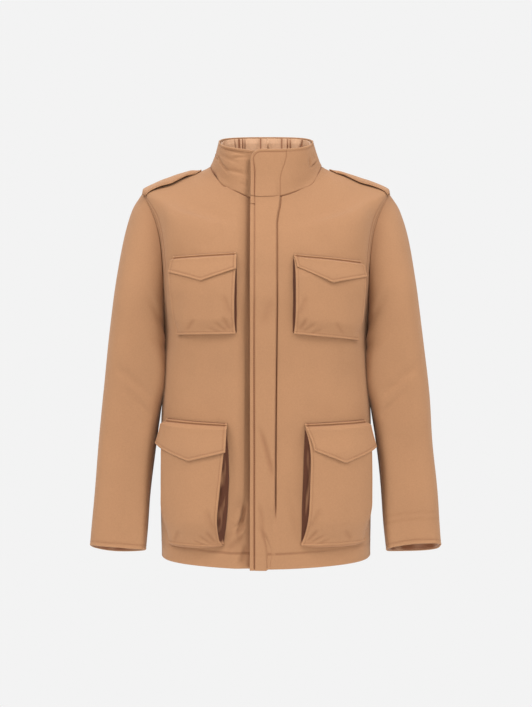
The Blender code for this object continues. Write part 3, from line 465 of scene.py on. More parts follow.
def form(angle, level):
    """A point of the smooth form under the cloth's folds."""
    angle, level = np.broadcast_arrays(angle, level)
    sine, cosine = np.sin(angle), np.cos(angle)
    front = cosine > 0
    depth = np.where(front, body_value("front_y", level), body_value("back_y", level))
    middle_z = np.where(front, body_value("front_z", level), body_value("back_z", level))
    chest = ease(cosine / SOFT_COSINE)
    side_z, width = body_value("side_z", level), body_value("side_x", level)
    side_z = side_z + (np.interp(level, SOFT_LEVELS, SOFT_Z) - side_z) * chest
    width = width + (np.interp(level, SOFT_LEVELS, SOFT_X) - width) * chest
    power = body_power(angle, level)
    reach = (np.abs(sine / width) ** power + np.abs(cosine / depth) ** power) ** (-1 / power)
    rise = np.clip((level - NECK) / (COLLAR_TOP - NECK), 0.0, 1.0)
    ridge = RIDGE_NECK + (RIDGE_RIM - RIDGE_NECK) * rise
    tilted = (np.hypot(reach * cosine / depth, ridge) - ridge) / (np.hypot(1.0, ridge) - ridge)
    share = cosine**2 + (tilted - cosine**2) * body_value("tilt", level)
    height = side_z + (middle_z - side_z) * share
    return np.stack([reach * sine, -reach * cosine, height], axis=-1)


def form_normal(angle, level):
    round_it = form(angle + STEP, level) - form(angle - STEP, level)
    high = np.minimum(level + STEP, COLLAR_TOP)
    low = np.maximum(level - STEP, 0.0)
    return unit(np.cross(round_it, form(angle, high) - form(angle, low)))


def fold_height(points):
    """How far the large folds lift the cloth of the front at these points."""
    x, y, z = points[..., 0], points[..., 1], points[..., 2]
    lift = np.zeros(x.shape)
    for k in range(len(FOLD_ROWS)):
        run_x = FOLDS["x_high"][k] - FOLDS["x_low"][k]
        run_z = FOLDS["z_high"][k] - FOLDS["z_low"][k]
        past_x, past_z = x - FOLDS["x_low"][k], z - FOLDS["z_low"][k]
        length = math.hypot(run_x, run_z)
        along = (past_x * run_x + past_z * run_z) / length**2
        aside = (past_x * run_z - past_z * run_x) / length / FOLDS["half_width"][k]
        ends = ease(along * 4 + 0.5) * ease((1 - along) * 4 + 0.5)
        lift += FOLDS["height"][k] * bell(aside) * ends
    return np.where(y < 0, lift, 0.0)


def skin(angle, level, out=0.0):
    """A point of the cloth's outer face, or one that stands off it."""
    base = form(angle, level)
    return base + form_normal(angle, level) * (fold_height(base) + out)[..., None]


def sunk_under_fly(points, normals, right_end):
    depth = DIP * ease((points[..., 0] - DIP_START) / DIP_WIDTH)
    return points - normals * np.where(right_end & (points[..., 1] < 0), depth, 0.0)[..., None]


def centre_angle(x, level):
    return np.arctan2(x, body_value("front_y", level))


def fly_seam(level):
    """The x of the fly's seam, which leans towards the neck."""
    lean = (FLY_SEAM - FLY_SEAM_LOW) * ease((level - FLY_LEAN_FROM) / FLY_LEAN_OVER)
    turn = (FLY_SEAM_NECK - FLY_SEAM) * ease((level - FLY_TURN_FROM) / FLY_TURN_OVER)
    return FLY_SEAM_LOW + lean + turn


def tab_seam(level):
    """The x of the seam that carries the fly on up the collar."""
    lean = ease((level - NECK - TAB_LEAN_FROM) / TAB_LEAN_OVER)
    return FLY_SEAM_NECK + (TAB_SEAM_TOP - FLY_SEAM_NECK) * lean


def round_neck(angle):
    """Distance round the collar from the centre front, negative on the wearer's right."""
    return np.where(angle > math.pi, angle - FULL, angle) * NECK_RADIUS


def level_where(angle, wanted, low, high, measure):
    """The level between low and high where a measure of the form, rising with it, is wanted."""
    low = np.full(np.broadcast(angle, wanted).shape, low)
    high = np.full(low.shape, high)
    for _ in range(30):
        middle = (low + high) / 2
        over = measure(form(angle, middle)) > wanted
        high = np.where(over, middle, high)
        low = np.where(over, low, middle)
    return (low + high) / 2


def height_of(points):
    return points[..., 2]


def nearness(points):
    """Rises as points near the neck's axis."""
    return -np.hypot(points[..., 0], points[..., 1])


MAP_HEIGHTS = np.linspace(-0.720, -0.100, 125)
MAP_ANGLES = np.linspace(0.0, math.radians(100), 201)
MAP_ACROSS = np.linspace(0.0, 0.26, 261)


def front_map():
    """The angle that lies each distance along the cloth from the centre front, at each height."""
    angles, heights = np.meshgrid(MAP_ANGLES, MAP_HEIGHTS)
    levels = level_where(angles, heights, 0.0, SHOULDER, height_of)
    steps = np.linalg.norm(np.diff(form(angles, levels), axis=1), axis=-1)
    arcs = np.concatenate([np.zeros((len(MAP_HEIGHTS), 1)), np.cumsum(steps, axis=1)], axis=1)
    return np.array([np.interp(MAP_ACROSS, arc, MAP_ANGLES) for arc in arcs])


FRONT_ANGLES = front_map()


def on_front(side, across, height, out):
    """A point that stands off the front: across from the centre, along the cloth, and high."""
    across, height, out = np.broadcast_arrays(across, height, out)
    row = np.clip((height - MAP_HEIGHTS[0]) / np.diff(MAP_HEIGHTS)[0], 0, len(MAP_HEIGHTS) - 1.001)
    col = np.clip(across / MAP_ACROSS[1], 0, len(MAP_ACROSS) - 1.001)
    i, j = row.astype(int), col.astype(int)
    up, over = row - i, col - j
    low = FRONT_ANGLES[i, j] * (1 - over) + FRONT_ANGLES[i, j + 1] * over
    high = FRONT_ANGLES[i + 1, j] * (1 - over) + FRONT_ANGLES[i + 1, j + 1] * over
    angles = low * (1 - up) + high * up
    levels = level_where(angles, height, 0.0, SHOULDER, height_of)
    return skin(side * angles, levels, out)


# ---------------- the sleeve's form
def armhole(turn):
    """Angle and level of the left armhole's edge; turn is 0 at the underarm, then front."""
    reach = np.where(np.sin(turn) > 0, ARMHOLE_FRONT, ARMHOLE_BACK)
    middle, half = (UNDERARM + SHOULDER) / 2, (SHOULDER - UNDERARM) / 2
    return QUARTER - reach * np.sin(turn), middle - half * np.cos(turn)


def signed_power(value, power):
    return np.sign(value) * np.abs(value) ** power


def body_side(points):
    """The x of the body's left side at the height and depth of each point."""
    known = BODY["side_z"][:TO_SHOULDER], BODY["level"][:TO_SHOULDER]
    level = np.interp(points[..., 2], *known)
    depth = np.where(points[..., 1] < 0, body_value("front_y", level), body_value("back_y", level))
    power = body_value("square", level)
    share = np.clip(np.abs(points[..., 1]) / depth, 0.0, 0.999)
    return body_value("side_x", level) * (1 - share**power) ** (1 / power)


def sleeve_ring(turn, along, hand=0):
    """A point of the left sleeve's own form, with the cuff of a hand where one is given."""
    value = {
        name: smooth_through(along, SLEEVE["along"], SLEEVE[name]) for name in SLEEVE_COLUMNS
    }
    value["lean"] = value["lean"] * CUFF_OPENING.get(hand, 1.0)
    below = ease(along / CAP_FADE)
    power = 2 / (value["square"] + SLEEVE_FULLER * below)
    inward, forward = signed_power(np.cos(turn), power), signed_power(np.sin(turn), power)
    middle_x = (value["outer_x"] + value["inner_x"]) / 2
    middle_y = (value["front_y"] + value["back_y"]) / 2
    middle_z = (value["outer_z"] + value["inner_z"]) / 2
    x = middle_x - (value["outer_x"] - value["inner_x"]) / 2 * inward
    y = middle_y - (value["back_y"] - value["front_y"]) / 2 * forward
    y = y - SLEEVE_FOLD * below * np.maximum(inward, 0.0) ** 3
    z = middle_z - (value["outer_z"] - value["inner_z"]) / 2 * inward + value["lean"] / 2 * forward
    hang = CUFF_SAG.get(hand, 0.0) * (1 - inward**2)
    hang = hang + CUFF_DIP * np.maximum(inward, 0) * np.maximum(forward, 0)
    z = z - hang * ease((along - CUFF_FROM) / CUFF_FADE)
    free = np.stack([x, y, z], axis=-1)
    side = body_side(free) + SLEEVE_CLEAR
    pressed = (x + side + np.hypot(x - side, SLEEVE_SOFT)) / 2
    free[..., 0] = x + (pressed - x) * ease((PRESS_TOP - z) / PRESS_FADE)
    return free


def sleeve(turn, along, hand=0):
    """A point of the left sleeve: turn as for the armhole, along from armhole to cuff."""
    turn, along = np.broadcast_arrays(turn, along)
    start = skin(*armhole(turn)) - sleeve_ring(turn, np.zeros(turn.shape))
    fade = 1 - ease(along / CAP_FADE)
    point = sleeve_ring(turn, along, hand) + start * fade[..., None]
    side = body_side(point) + SLEEVE_CLEAR * ease(along / CLEAR_FADE)
    under = ease((UNDERARM_Z + UNDERARM_FADE - point[..., 2]) / UNDERARM_FADE)
    point[..., 0] += (np.maximum(point[..., 0], side) - point[..., 0]) * under
    return point


def sleeve_normal(turn, along):
    round_it = sleeve(turn + STEP, along) - sleeve(turn - STEP, along)
    down = sleeve(turn, np.minimum(along + STEP, 1.0)) - sleeve(turn, np.maximum(along - STEP, 0.0))
    return unit(np.cross(down, round_it))


# ---------------- panels of cloth
def stations(length, step=GRAIN, fine_low=True, fine_high=True):
    """Shares of a length, close together at the ends that have a seam or an edge."""
    low = EDGE_STEPS if fine_low else EDGE_STEPS[:1]
    high = length - (EDGE_STEPS if fine_high else EDGE_STEPS[:1])[::-1]
    count = max(2, math.ceil((high[0] - low[-1]) / step))
    return np.concatenate([low, np.linspace(low[-1], high[0], count + 1)[1:-1], high]) / length


def lengths(points, axis):
    """How far along its line of the grid each point lies, in metres."""
    steps = np.linalg.norm(np.diff(points, axis=axis), axis=-1)
    lead = np.zeros((1, steps.shape[1]) if axis == 0 else (steps.shape[0], 1))
    return np.concatenate([lead, np.cumsum(steps, axis=axis)], axis=axis)


class Panel:
    """Points of a cloth's outer face, in rows that run up and columns that run to the right as
    seen from outside, and how far each is from the four edges."""

    def __init__(self, points, tube=False):
        self.points, self.tube = points, tube
        self.left, self.low = lengths(points, 1), lengths(points, 0)
        self.right, self.high = self.left[:, -1:] - self.left, self.low[-1:] - self.low
        # each point's painted shade, below 0, and painted highlight, above 0
        self.rub = np.zeros(points.shape[:2])
        self.find_normals()

    def find_normals(self):
        if self.tube:
            ring = self.points[:, :-1]
            turned = np.roll(ring, -1, axis=1) - np.roll(ring, 1, axis=1)
            turned = np.concatenate([turned, turned[:, :1]], axis=1)
        else:
            turned = np.gradient(self.points, axis=1)
        self.normals = unit(np.cross(turned, np.gradient(self.points, axis=0)))

    def lift(self, height):
        """Raises the face, or sinks it, along its normals."""
        self.points = self.points + self.normals * np.asarray(height)[..., None]

    def ridge(self, distance, height, width, share=1.0):
        """Raises the face, or sinks it, along the line where the given distance is 0."""
        self.lift(height * bell(distance / width) * share)

    def darken(self, distance, share, width):
        """Paints shade on the face along the line where the given distance is 0; a negative share
        paints light there instead.
        """
        self.rub = self.rub - share * bell(distance / width)

    def groove(self, distance, depth=GROOVE, width=GROOVE_WIDTH, share=1.0):
        """Sinks a sewn line where the given distance is 0, with painted shade in it."""
        self.ridge(distance, -depth, width, share)
        self.darken(distance, GROOVE_SHADE * share, width)

    def welt(self, edge, at, height=0.0004, roll=0.0010, share=1.0):
        """A turned edge: a soft ridge that rolls down at its end, with a painted highlight on the
        ridge, sewn along a line behind it.
        """
        ridge = bell((edge - RIM) / RIM)
        self.lift((height * ridge - roll * bell(edge / (roll * ROLL))) * share)
        self.rub = self.rub + ridge * share
        self.groove(edge - at, depth=FINE_GROOVE, share=share)

    def welts(self, edges, at):
        for edge in edges:
            self.welt(getattr(self, edge), at)

    def seam(self, edge, depth=0.0013, width=0.0014, share=1.0):
        """A seam, where the cloth turns in, with painted shade along it."""
        self.ridge(edge, -depth, width, share)
        self.darken(edge, SEAM_SHADE * share, width)

    def line(self, field, at):
        """Points and normals along the line where an edge's distance is the given one."""
        grids = [getattr(self, field), self.points, self.normals]
        if field in ("low", "high"):
            grids = [grid.swapaxes(0, 1) for grid in grids]
        if field in ("right", "high"):
            grids = [grid[:, ::-1] for grid in grids]
        rows = list(zip(*grids))
        path = np.array([between(at, distance, points) for distance, points, _ in rows])
        return path, unit(np.array([between(at, distance, ways) for distance, _, ways in rows]))


def crease_lift(across, along, rows):
    """How far these creases lift the cloth at each point."""
    lift = np.zeros(np.broadcast(across, along).shape)
    for row in rows:
        low_a, low_b, high_a, high_b, bow, left, right, height = (value / 1000 for value in row)
        run_a, run_b = high_a - low_a, high_b - low_b
        length = math.hypot(run_a, run_b)
        past_a, past_b = across - low_a, along - low_b
        share = (past_a * run_a + past_b * run_b) / length**2
        aside = (past_a * run_b - past_b * run_a) / length - 4 * bow * share * (1 - share)
        width = np.where(aside < 0, left, right)
        lift += height * bell(aside / width) * ease(share * 3) * ease((1 - share) * 3)
    return lift


def put(name, data):
    """An object in the scene that shows this mesh, lamp or lens."""
    made = bpy.data.objects.new(name, data)
    bpy.context.scene.collection.objects.link(made)
    return made


def put_mesh(name, bm, *finishes):
    mesh = bpy.data.meshes.new(name)
    bm.to_mesh(mesh)
    bm.free()
    for finish in finishes:
        mesh.materials.append(finish)
    return put(name, mesh)


def cloth_object(name, panel, finish, inner_finish, wall):
    """A piece of cloth: the panel's face with a wall under it."""
    rows, cols = panel.points.shape[:2]
    bm = bmesh.new()
    bmesh.ops.create_grid(bm, x_segments=cols - 1, y_segments=rows - 1, size=0.5)
    weave = bm.loops.layers.uv.new("weave")
    # each point's painted shade and painted highlight, carried to the finish
    rub = bm.verts.layers.float.new("rub")
    for vert in bm.verts:
        row = round((vert.co.y + 0.5) * (rows - 1))
        col = round((vert.co.x + 0.5) * (cols - 1))
        vert.index = row * cols + col
        vert[rub] = panel.rub[row, col]
        vert.co = panel.points[row, col]
    middle = cols // 2
    across = panel.left - panel.left[:, middle : middle + 1]
    for face in bm.faces:
        for loop in face.loops:
            row, col = divmod(loop.vert.index, cols)
            loop[weave].uv = (across[row, col], panel.low[row, col])
        face.smooth = True
    if panel.tube:
        bmesh.ops.remove_doubles(bm, verts=bm.verts, dist=1e-6)
    piece = put_mesh(name, bm, finish, inner_finish)
    made = piece.modifiers.new("wall", "SOLIDIFY")
    made.thickness = wall
    made.offset = -1.0
    made.material_offset = 1
    return piece


def cloth(node, panel, finish, inner_finish, wall=SHELL,
          nodes=None):
    """Finishes a panel as the piece that stands for its node, or for the given ones, and hides
    their solids."""
    piece = cloth_object(node + "_cloth", panel, finish, inner_finish, wall)
    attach(piece, "root")
    nodes = [node] if nodes is None else nodes
    if nodes:
        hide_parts(*nodes)


# ---------------- stitches
SEWN = {}


def sew(group, path, normals, begin=0.0, end=1.0):
    """Notes a line of stitches for one of the joined meshes of thread."""
    SEWN.setdefault(group, []).append((path, normals, begin, end))


def sew_edges(group, panel, edges, at):
    for edge in edges:
        sew(group, *panel.line(edge, at))


def build_stitches(group, lines):
    """One mesh of small grains of thread along the lines of a group."""
    bm = bmesh.new()
    pitch = STITCH + STITCH_GAP
    for path, normals, begin, end in lines:
        steps = np.concatenate([[0], np.cumsum(np.linalg.norm(np.diff(path, axis=0), axis=1))])
        places = np.arange(steps[-1] * begin + pitch, steps[-1] * end - pitch, pitch)
        for place in places:
            here, out = between(place, steps, path), unit(between(place, steps, normals))
            along = unit(between(place + pitch / 2, steps, path) - here)
            aside = unit(np.cross(out, along))
            turn = Matrix((along * STITCH / 2, aside * THREAD, out * THREAD)).transposed().to_4x4()
            turn.translation = Vector(here + out * THREAD * 0.5)
            bmesh.ops.create_icosphere(bm, subdivisions=1, radius=1.0, matrix=turn)
    for face in bm.faces:
        face.smooth = True
    piece = put_mesh(group + "_stitches", bm, THREAD_FINISH)
    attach(piece, "root")


# ---------------- finishes
def woven(name, colour, roughness, sheen, pitch, relief, mottle, deep=PAINTED_SHADE_TINT):
    """Cloth: its weave follows the piece's own map in metres, its colour varies softly, and each
    point's painted light tints it: painted shade darkens it towards the shade tint, and a painted
    highlight makes it a little lighter."""
    made = bpy.data.materials.new(name)
    made.use_nodes = True
    nodes, links = made.node_tree.nodes, made.node_tree.links

    def fill(node, inputs):
        for socket, value in inputs.items():
            if isinstance(value, bpy.types.NodeSocket):
                links.new(value, node.inputs[socket])
            else:
                node.inputs[socket].default_value = value

    def add(kind, output, inputs, **settings):
        """Adds a node and gives the output of it that is used."""
        node = nodes.new("ShaderNode" + kind)
        for setting, value in settings.items():
            setattr(node, setting, value)
        fill(node, inputs)
        return node.outputs[output]

    def ranged(value, low, high, at_low=0.0, at_high=1.0):
        """From low to high as the value goes from the one given for low to that for high."""
        limits = {"From Min": at_low, "From Max": at_high, "To Min": low, "To Max": high}
        return add("MapRange", "Result", {"Value": value, **limits})

    own_map = add("UVMap", "UV", {}, uv_map="weave")
    bands = 1 / pitch / 20 * FULL  # the texture has 20 / FULL bands in a metre
    wave = {"Vector": own_map, "Scale": bands, "Distortion": 0.6}
    wave |= {"Detail": 1.0, "Detail Scale": 2.0}
    warp, weft = (add("TexWave", "Fac", wave, bands_direction=way) for way in ("X", "Y"))
    crossing = add("Math", "Value", {0: warp, 1: weft}, operation="ADD")

    place = add("TexCoord", "Object", {})
    cloudy = add("TexNoise", "Fac", {"Vector": place, "Scale": 11.0, "Detail": 3.0})
    slub = add("TexNoise", "Fac", {"Vector": place, "Scale": 420.0, "Detail": 2.0})
    tone = add("ValToRGB", "Color", {"Fac": cloudy})
    ends = tone.node.color_ramp.elements
    for end, at, share in zip(ends, (0.30, 0.70), (1 - mottle, 1 + mottle)):
        end.position = at
        end.color = (*(min(1.0, c * share) for c in colour), 1.0)

    # the points' painted shade tints the colour towards the shade tint, and their painted highlight
    # lightens it
    rub = add("Attribute", "Fac", {}, attribute_name="rub")
    sunk = ranged(rub, 0.0, 1.0, 0.0, -1.0)
    towards = {0: sunk, 1: [share - 1 for share in deep], 2: (1.0, 1.0, 1.0)}
    tint = add("VectorMath", "Vector", towards, operation="MULTIPLY_ADD")
    tinted = add("VectorMath", "Vector", {0: tone, 1: tint}, operation="MULTIPLY")
    grain, raised = ranged(slub, 0.96, 1.04, 0.3, 0.7), ranged(rub, 1.0, EDGE_HIGHLIGHT)
    lighter = add("Math", "Value", {0: grain, 1: raised}, operation="MULTIPLY")
    shade = add("VectorMath", "Vector", {0: tinted, "Scale": lighter}, operation="SCALE")

    bump = {"Height": crossing, "Strength": relief, "Distance": 0.0004}
    fill(nodes["Principled BSDF"], {
        "Base Color": shade,
        "Roughness": ranged(cloudy, roughness - 0.05, roughness + 0.05),
        "Normal": add("Bump", "Normal", bump),
        "Metallic": 0.0,
        "Specular IOR Level": 0.30,
        "Sheen Weight": sheen,
        "Sheen Roughness": 0.45,
        "Sheen Tint": (1.0, 0.80, 0.62, 1.0),
    })
    return made


def plain(name, colour, roughness):
    made = bpy.data.materials.new(name)
    made.use_nodes = True
    shader = made.node_tree.nodes["Principled BSDF"]
    shader.inputs["Base Color"].default_value = (*colour, 1.0)
    shader.inputs["Roughness"].default_value = roughness
    return made


SHELL_CLOTH = woven("camel_cloth", CAMEL, 0.80, 0.14, 0.0008, 0.30, 0.03)
# the camel cloth in its darker copy, as painted shade, for the gussets and the insides of the
# pieces
GUSSET_CLOTH = woven("camel_gusset", CAMEL_PAINTED_SHADE, 0.78, 0.10, 0.0008, 0.30, 0.06, GUSSET_SHADE_TINT)
SATIN = woven("camel_lining", CAMEL_SATIN, 0.55, 0.12, 0.0005, 0.12, 0.03)
THREAD_FINISH = plain("camel_thread", THREAD_COLOUR, 0.6)


# ---------------- body
def panel_rows(reach, step=GRAIN):
    """A panel's rows, evenly spaced up the side seam, round the armhole and along the shoulder:
    the share of that edge, the levels at the centre and at the edge, and the edge's angle."""
    turns = np.linspace(0.0, math.pi, 200)
    side, shoulder = np.linspace(0.0, UNDERARM, 120)[:-1], np.linspace(SHOULDER, NECK, 60)[1:]
    levels = np.concatenate([side, armhole(turns)[1], shoulder])
    angles = np.full(len(levels), QUARTER)
    angles[len(side) : -len(shoulder)] += reach * np.sin(turns)
    steps = np.linalg.norm(np.diff(form(angles, levels), axis=0), axis=-1)
    places = np.concatenate([[0.0], np.cumsum(steps)])
    shares = stations(places[-1], step)
    at = shares * places[-1]
    return shares, NECK * shares, np.interp(at, places, levels), np.interp(at, places, angles)


def hem(panel):
    """The turned hem at the panel's low edge."""
    panel.welt(panel.low, HEM, **FINE_WELT)
    panel.groove(panel.low - HEM, depth=0.0003)


def on_armhole(outer):
    """1 in the rows whose edge level is the armhole's, 0 in the others."""
    return ease((outer - UNDERARM) / 0.01) * ease((SHOULDER - outer) / 0.01 + 1)


def armhole_stitches(panel, edge, shares, outer):
    """Two sewn lines on the body's side of the armhole."""
    distance = getattr(panel, edge)
    begin, end = (float(np.interp(level, outer, shares)) for level in (UNDERARM, SHOULDER))
    share = on_armhole(outer)[:, None]
    for at in ARMHOLE_LINES:
        panel.groove(distance - at, **WIDE_GROOVE, share=1.5 * share)
        sew("body", *panel.line(edge, at), begin=begin, end=end)


def front_columns(edge, line, near, middle, outer, seam):
    """Angles and levels of a front's points. Hidden columns run from its edge to the fly's line,
    the near ones keep their distance from that line, and the rest fan out to the side."""
    hidden = edge + (line + near[0] - edge) * np.linspace(0, 1, 12)[:-1]
    close = centre_angle(np.concatenate([hidden, line + near], axis=1), middle)
    fan = np.union1d(stations(FAN, fine_low=False)[1:], 1 - SECOND_LINE / FAN)
    wide = close[:, -1:] + (seam - close[:, -1:]) * fan
    levels = np.broadcast_to(middle, close.shape)
    return (
        np.concatenate([close, wide], axis=1),
        np.concatenate([levels, middle + (outer - middle) * fan], axis=1),
    )


FLY_VALLEY = -0.0290  # x of the valley beside the fly, darkened with painted shade
SLIT_SHARPER = 1.3  # than the fly's own lines
ARMHOLE_SOFTER = 0.7  # how much shallower a front's side seam is along the armhole


def build_front(name, side):
    shares, middle, outer, seam = panel_rows(-ARMHOLE_FRONT)
    if side > 0:
        start, line, near = LEFT_EDGE, fly_seam(middle)[:, None], BESIDE_SEAM
    else:
        start, line, near = -UNDERLAP, np.full((len(middle), 1), -FLY_EDGE), BESIDE_FLY
    rows = (column[:, None] for column in (middle, outer, seam))
    angles, levels = front_columns(start, line, near, *rows)
    angles, levels = side * angles[:, ::side], levels[:, ::side]
    points, normals = skin(angles, levels), form_normal(angles, levels)
    if side < 0:
        points = sunk_under_fly(points, normals, True)
    panel = Panel(points)
    x, z = points[..., 0], points[..., 2]
    panel.lift(crease_lift(x, z, FRONT_CREASES[side]) + soft_swell("front", points))
    if side < 0:
        # painted shade in the valley beside the fly
        panel.darken(x - FLY_VALLEY, share=0.40, width=0.0060)
        puckers = crease_lift(x, z, FLY_PUCKERS)
        panel.lift(puckers)
        # painted shade in the puckers' troughs
        panel.rub += np.clip(puckers / PUCKER_SHADE, DARKEST["front"], 0.0)
    if side > 0:
        closed = ease((levels - FLY_OPEN_LOW) / FLY_OPEN_FADE)
        slit = bell((x - fly_seam(levels) - SLIT_AT) / SLIT_WIDTH) * closed
        slit = slit * fly_pull(levels) * SLIT_SHARPER
        panel.lift(-SLIT_DEPTH * slit)
        # painted shade in the slit along the fly's seam
        panel.rub -= slit
    panel.find_normals()
    edge = "right" if side > 0 else "left"
    share = 1 - ARMHOLE_SOFTER * on_armhole(outer)[:, None]
    panel.seam(getattr(panel, edge), share=share)
    panel.seam(panel.high)
    armhole_stitches(panel, edge, shares, outer)
    hem(panel)
    cloth(name, panel, SHELL_CLOTH, SATIN)
    sew_edges("body", panel, ["low"], HEM)


def build_back(name):
    shares, middle, outer, seam = panel_rows(ARMHOLE_BACK, BACK_STEP)
    fan = stations(BACK_ROUND, BACK_STEP)
    angles = seam[:, None] + (FULL - 2 * seam)[:, None] * fan
    levels = middle[:, None] + (outer - middle)[:, None] * np.abs(2 * fan - 1)
    points = skin(angles, levels)
    panel = Panel(points)
    x, z = points[..., 0], points[..., 2]
    creases = crease_lift(x, z, BACK_CREASES)
    # painted shade in the creases' troughs
    panel.rub += np.clip(creases / CREASE_SHADE, DARKEST["back"], 0.0)
    panel.lift(creases + soft_swell("back", points))
    panel.find_normals()
    for edge in ("left", "right"):
        panel.seam(getattr(panel, edge))
        armhole_stitches(panel, edge, shares, outer)
    panel.seam(panel.high)
    hem(panel)
    cloth(name, panel, SHELL_CLOTH, SATIN)
    sew_edges("body", panel, ["low"], HEM)


# ---------------- sleeves
def flip(points, side):
    return points * np.array([side, 1, 1])


SLEEVE_TURNS, SLEEVE_STEP = 126, 0.0040  # points round the sleeve, and their spacing along it
CREASES_GROW = 12  # the creases grow over a twelfth of the sleeve, below the armhole
CUFF_FRONT, CUFF_UNDER = 0.13, 0.03  # middles of the left and the right cuff's sewn lines
CUFF_LINE_HALF, CUFF_LINE_ENDS = 0.15, 0.02  # half length of the left ones, and how all fade


def build_sleeve(name, side):
    turns = np.linspace(0, FULL, SLEEVE_TURNS)
    along = stations(SLEEVE_LENGTH, SLEEVE_STEP)
    turn, down = np.meshgrid(turns, along[::-1])
    points = flip(sleeve(turn, down, side), side)[:, ::side]
    turn = turn[:, ::side]
    panel = Panel(points, tube=True)
    around = turn / FULL * SLEEVE_ROUND
    lift = crease_lift(around, down * SLEEVE_LENGTH, SLEEVE_CREASES)
    # painted shade in the creases' troughs
    crease_painted_shade = np.clip(lift / CREASE_SHADE, DARKEST["sleeve"], 0.0)
    panel.rub += crease_painted_shade * np.maximum(-np.sin(turn), 0.0)  # behind alone
    panel.lift(lift * ease(down * CREASES_GROW) + soft_swell("sleeve", points, side))
    panel.find_normals()
    panel.seam(panel.high, share=0.3)
    # a band of painted shade on the front of the sleeve along the armhole
    panel.darken(panel.high, share=0.22 * np.maximum(np.sin(turn), 0.0), width=0.022)
    panel.welt(panel.low, CUFF_HEM)
    if side > 0:
        shown = ease((CUFF_LINE_HALF - np.abs(around - CUFF_FRONT)) / CUFF_LINE_ENDS)
    else:
        shown = bell((around - CUFF_UNDER) / CUFF_LINE_ENDS)
    for at in CUFF_LINES:
        panel.groove(panel.low - at, **WIDE_GROOVE, share=0.5 * shown)
    nodes = [name.replace("sleeve", piece) for piece in ("sleeve_upper", "sleeve_lower", "cuff")]
    cloth(name, panel, SHELL_CLOTH, GUSSET_CLOTH, nodes=nodes)
    sew_edges("sleeve", panel, ["low"], CUFF_HEM)


def build_cuff_lining(name, side):
    turns = np.linspace(0, FULL, 120)
    turn, down = np.meshgrid(turns, np.linspace(CUFF_LINING_TO, CUFF_LINING_FROM, 34))
    normals = sleeve_normal(turn, down)
    points = sleeve(turn, down, side) - normals * (SHELL + 2 * LAP_GAP)
    points = flip(points, side)[:, ::side]
    panel = Panel(points, tube=True)
    depth = (CUFF_LINING_TO - down) / (CUFF_LINING_TO - CUFF_LINING_FROM)
    ripple = unevenness(points, 0.012, 20 + side, upright=0.35)
    panel.lift(-CUFF_RIPPLE * np.maximum(0.4 + ripple, 0.0) * ease(depth * 5))
    # painted shade all over the lining inside the cuff, varying with its ripples
    panel.rub = -0.9 + 0.3 * ripple
    panel.find_normals()
    cloth(name, panel, SATIN, SATIN, wall=LIGHT)


# ---------------- fly, collar and tab
# The fly's two lines are drawn in by this share at the neck, and in full below the chest.
PULL_AT_NECK, PULL_TOP, PULL_FADE = 0.4, 0.60, 0.25
STAND = SHELL + 1.4 * LAP_GAP  # how far the fly and the tab lie off the front and the collar
FLAT_DROP, FLAT_WIDE = 0.0030, 0.022  # how the fly's unfastened side lies down


def fly_pull(level):
    return PULL_AT_NECK + (1 - PULL_AT_NECK) * ease((PULL_TOP - level) / PULL_FADE)


def build_placket(name):
    levels = np.sort(np.append(FLY_TOP * stations(FLY_TOP), NOTCH_LEVEL + NOTCH_ROWS))
    share, level = np.meshgrid(stations(FLY_WIDE, FINE_GRAIN), levels)
    x = FLY_EDGE + (fly_seam(level) - FLY_EDGE) * share
    points = skin(centre_angle(x, level), level, STAND)
    drop = ease(1 - level / FLY_DROP_TALL) * ease((FLY_DROP_END - x) / FLY_DROP_FADE)
    points[..., 2] -= FLY_DROP * drop
    panel = Panel(points)
    lift = crease_lift(points[..., 0], points[..., 2], FLY_CREASES)
    panel.lift(lift + soft_swell("placket", points))
    # painted shade in the creases' troughs
    panel.rub += np.clip(lift / FINE_CREASE_SHADE, DARKEST["placket"], 0.0)
    panel.find_normals()
    # the seamed side rolls down onto the front, and lies flat on it below the last fastening
    sewn = ease((level - FLY_OPEN_LOW) / FLY_OPEN_FADE)
    panel.ridge(panel.right - 0.003, height=0.0004, width=0.0015, share=sewn)
    panel.ridge(panel.right, height=-0.0034, width=0.0014, share=sewn)
    panel.lift(-FLAT_DROP * (1 - sewn) * (1 - ease(panel.right / FLAT_WIDE)))
    # painted shade along the seamed side
    panel.darken(panel.right, share=0.5 * sewn, width=0.0008)
    panel.welt(panel.left, FLY_LINE, height=0.0006)
    panel.groove(panel.left - FLY_LINE, depth=0.0020, share=fly_pull(level))
    # painted shade along the sewn line by the free edge
    panel.darken(panel.left - FLY_LINE, share=0.9 * fly_pull(level), width=0.0009)
    in_edge = ease((FLY_LINE + NOTCH_WIDTH - panel.left) / NOTCH_WIDTH)
    notch = bell((level - NOTCH_LEVEL) / NOTCH_WIDTH) * in_edge
    panel.lift(-NOTCH_DEPTH * notch)
    # painted shade in the notch
    panel.rub -= notch
    panel.welt(panel.low, HEM, **FINE_WELT)
    cloth(name, panel, SHELL_CLOTH, SATIN)
    sew_edges("body", panel, ["left"], FLY_LINE)


# Round the collar and up from its seam: a deep dent on the wearer's right with painted shade in it,
# and a line of painted shade on the left.
DENT_AT, DENT_WIDTH, DENT_TALL = -0.094, 0.017, 0.0040
DENT_DEPTH, DENT_SHADE = 0.0095, 2.6
LINE_AT, LINE_WIDTH, LINE_TALL, LINE_SHADE = 0.105, 0.03, 0.0016, 0.7
TAB_EDGE = {"depth": 0.0005, "width": 0.0011}  # the seam between the collar and its tab
COLLAR_OUT, TAB_OUT = 0.0004, 0.0008  # how far both stand off the form


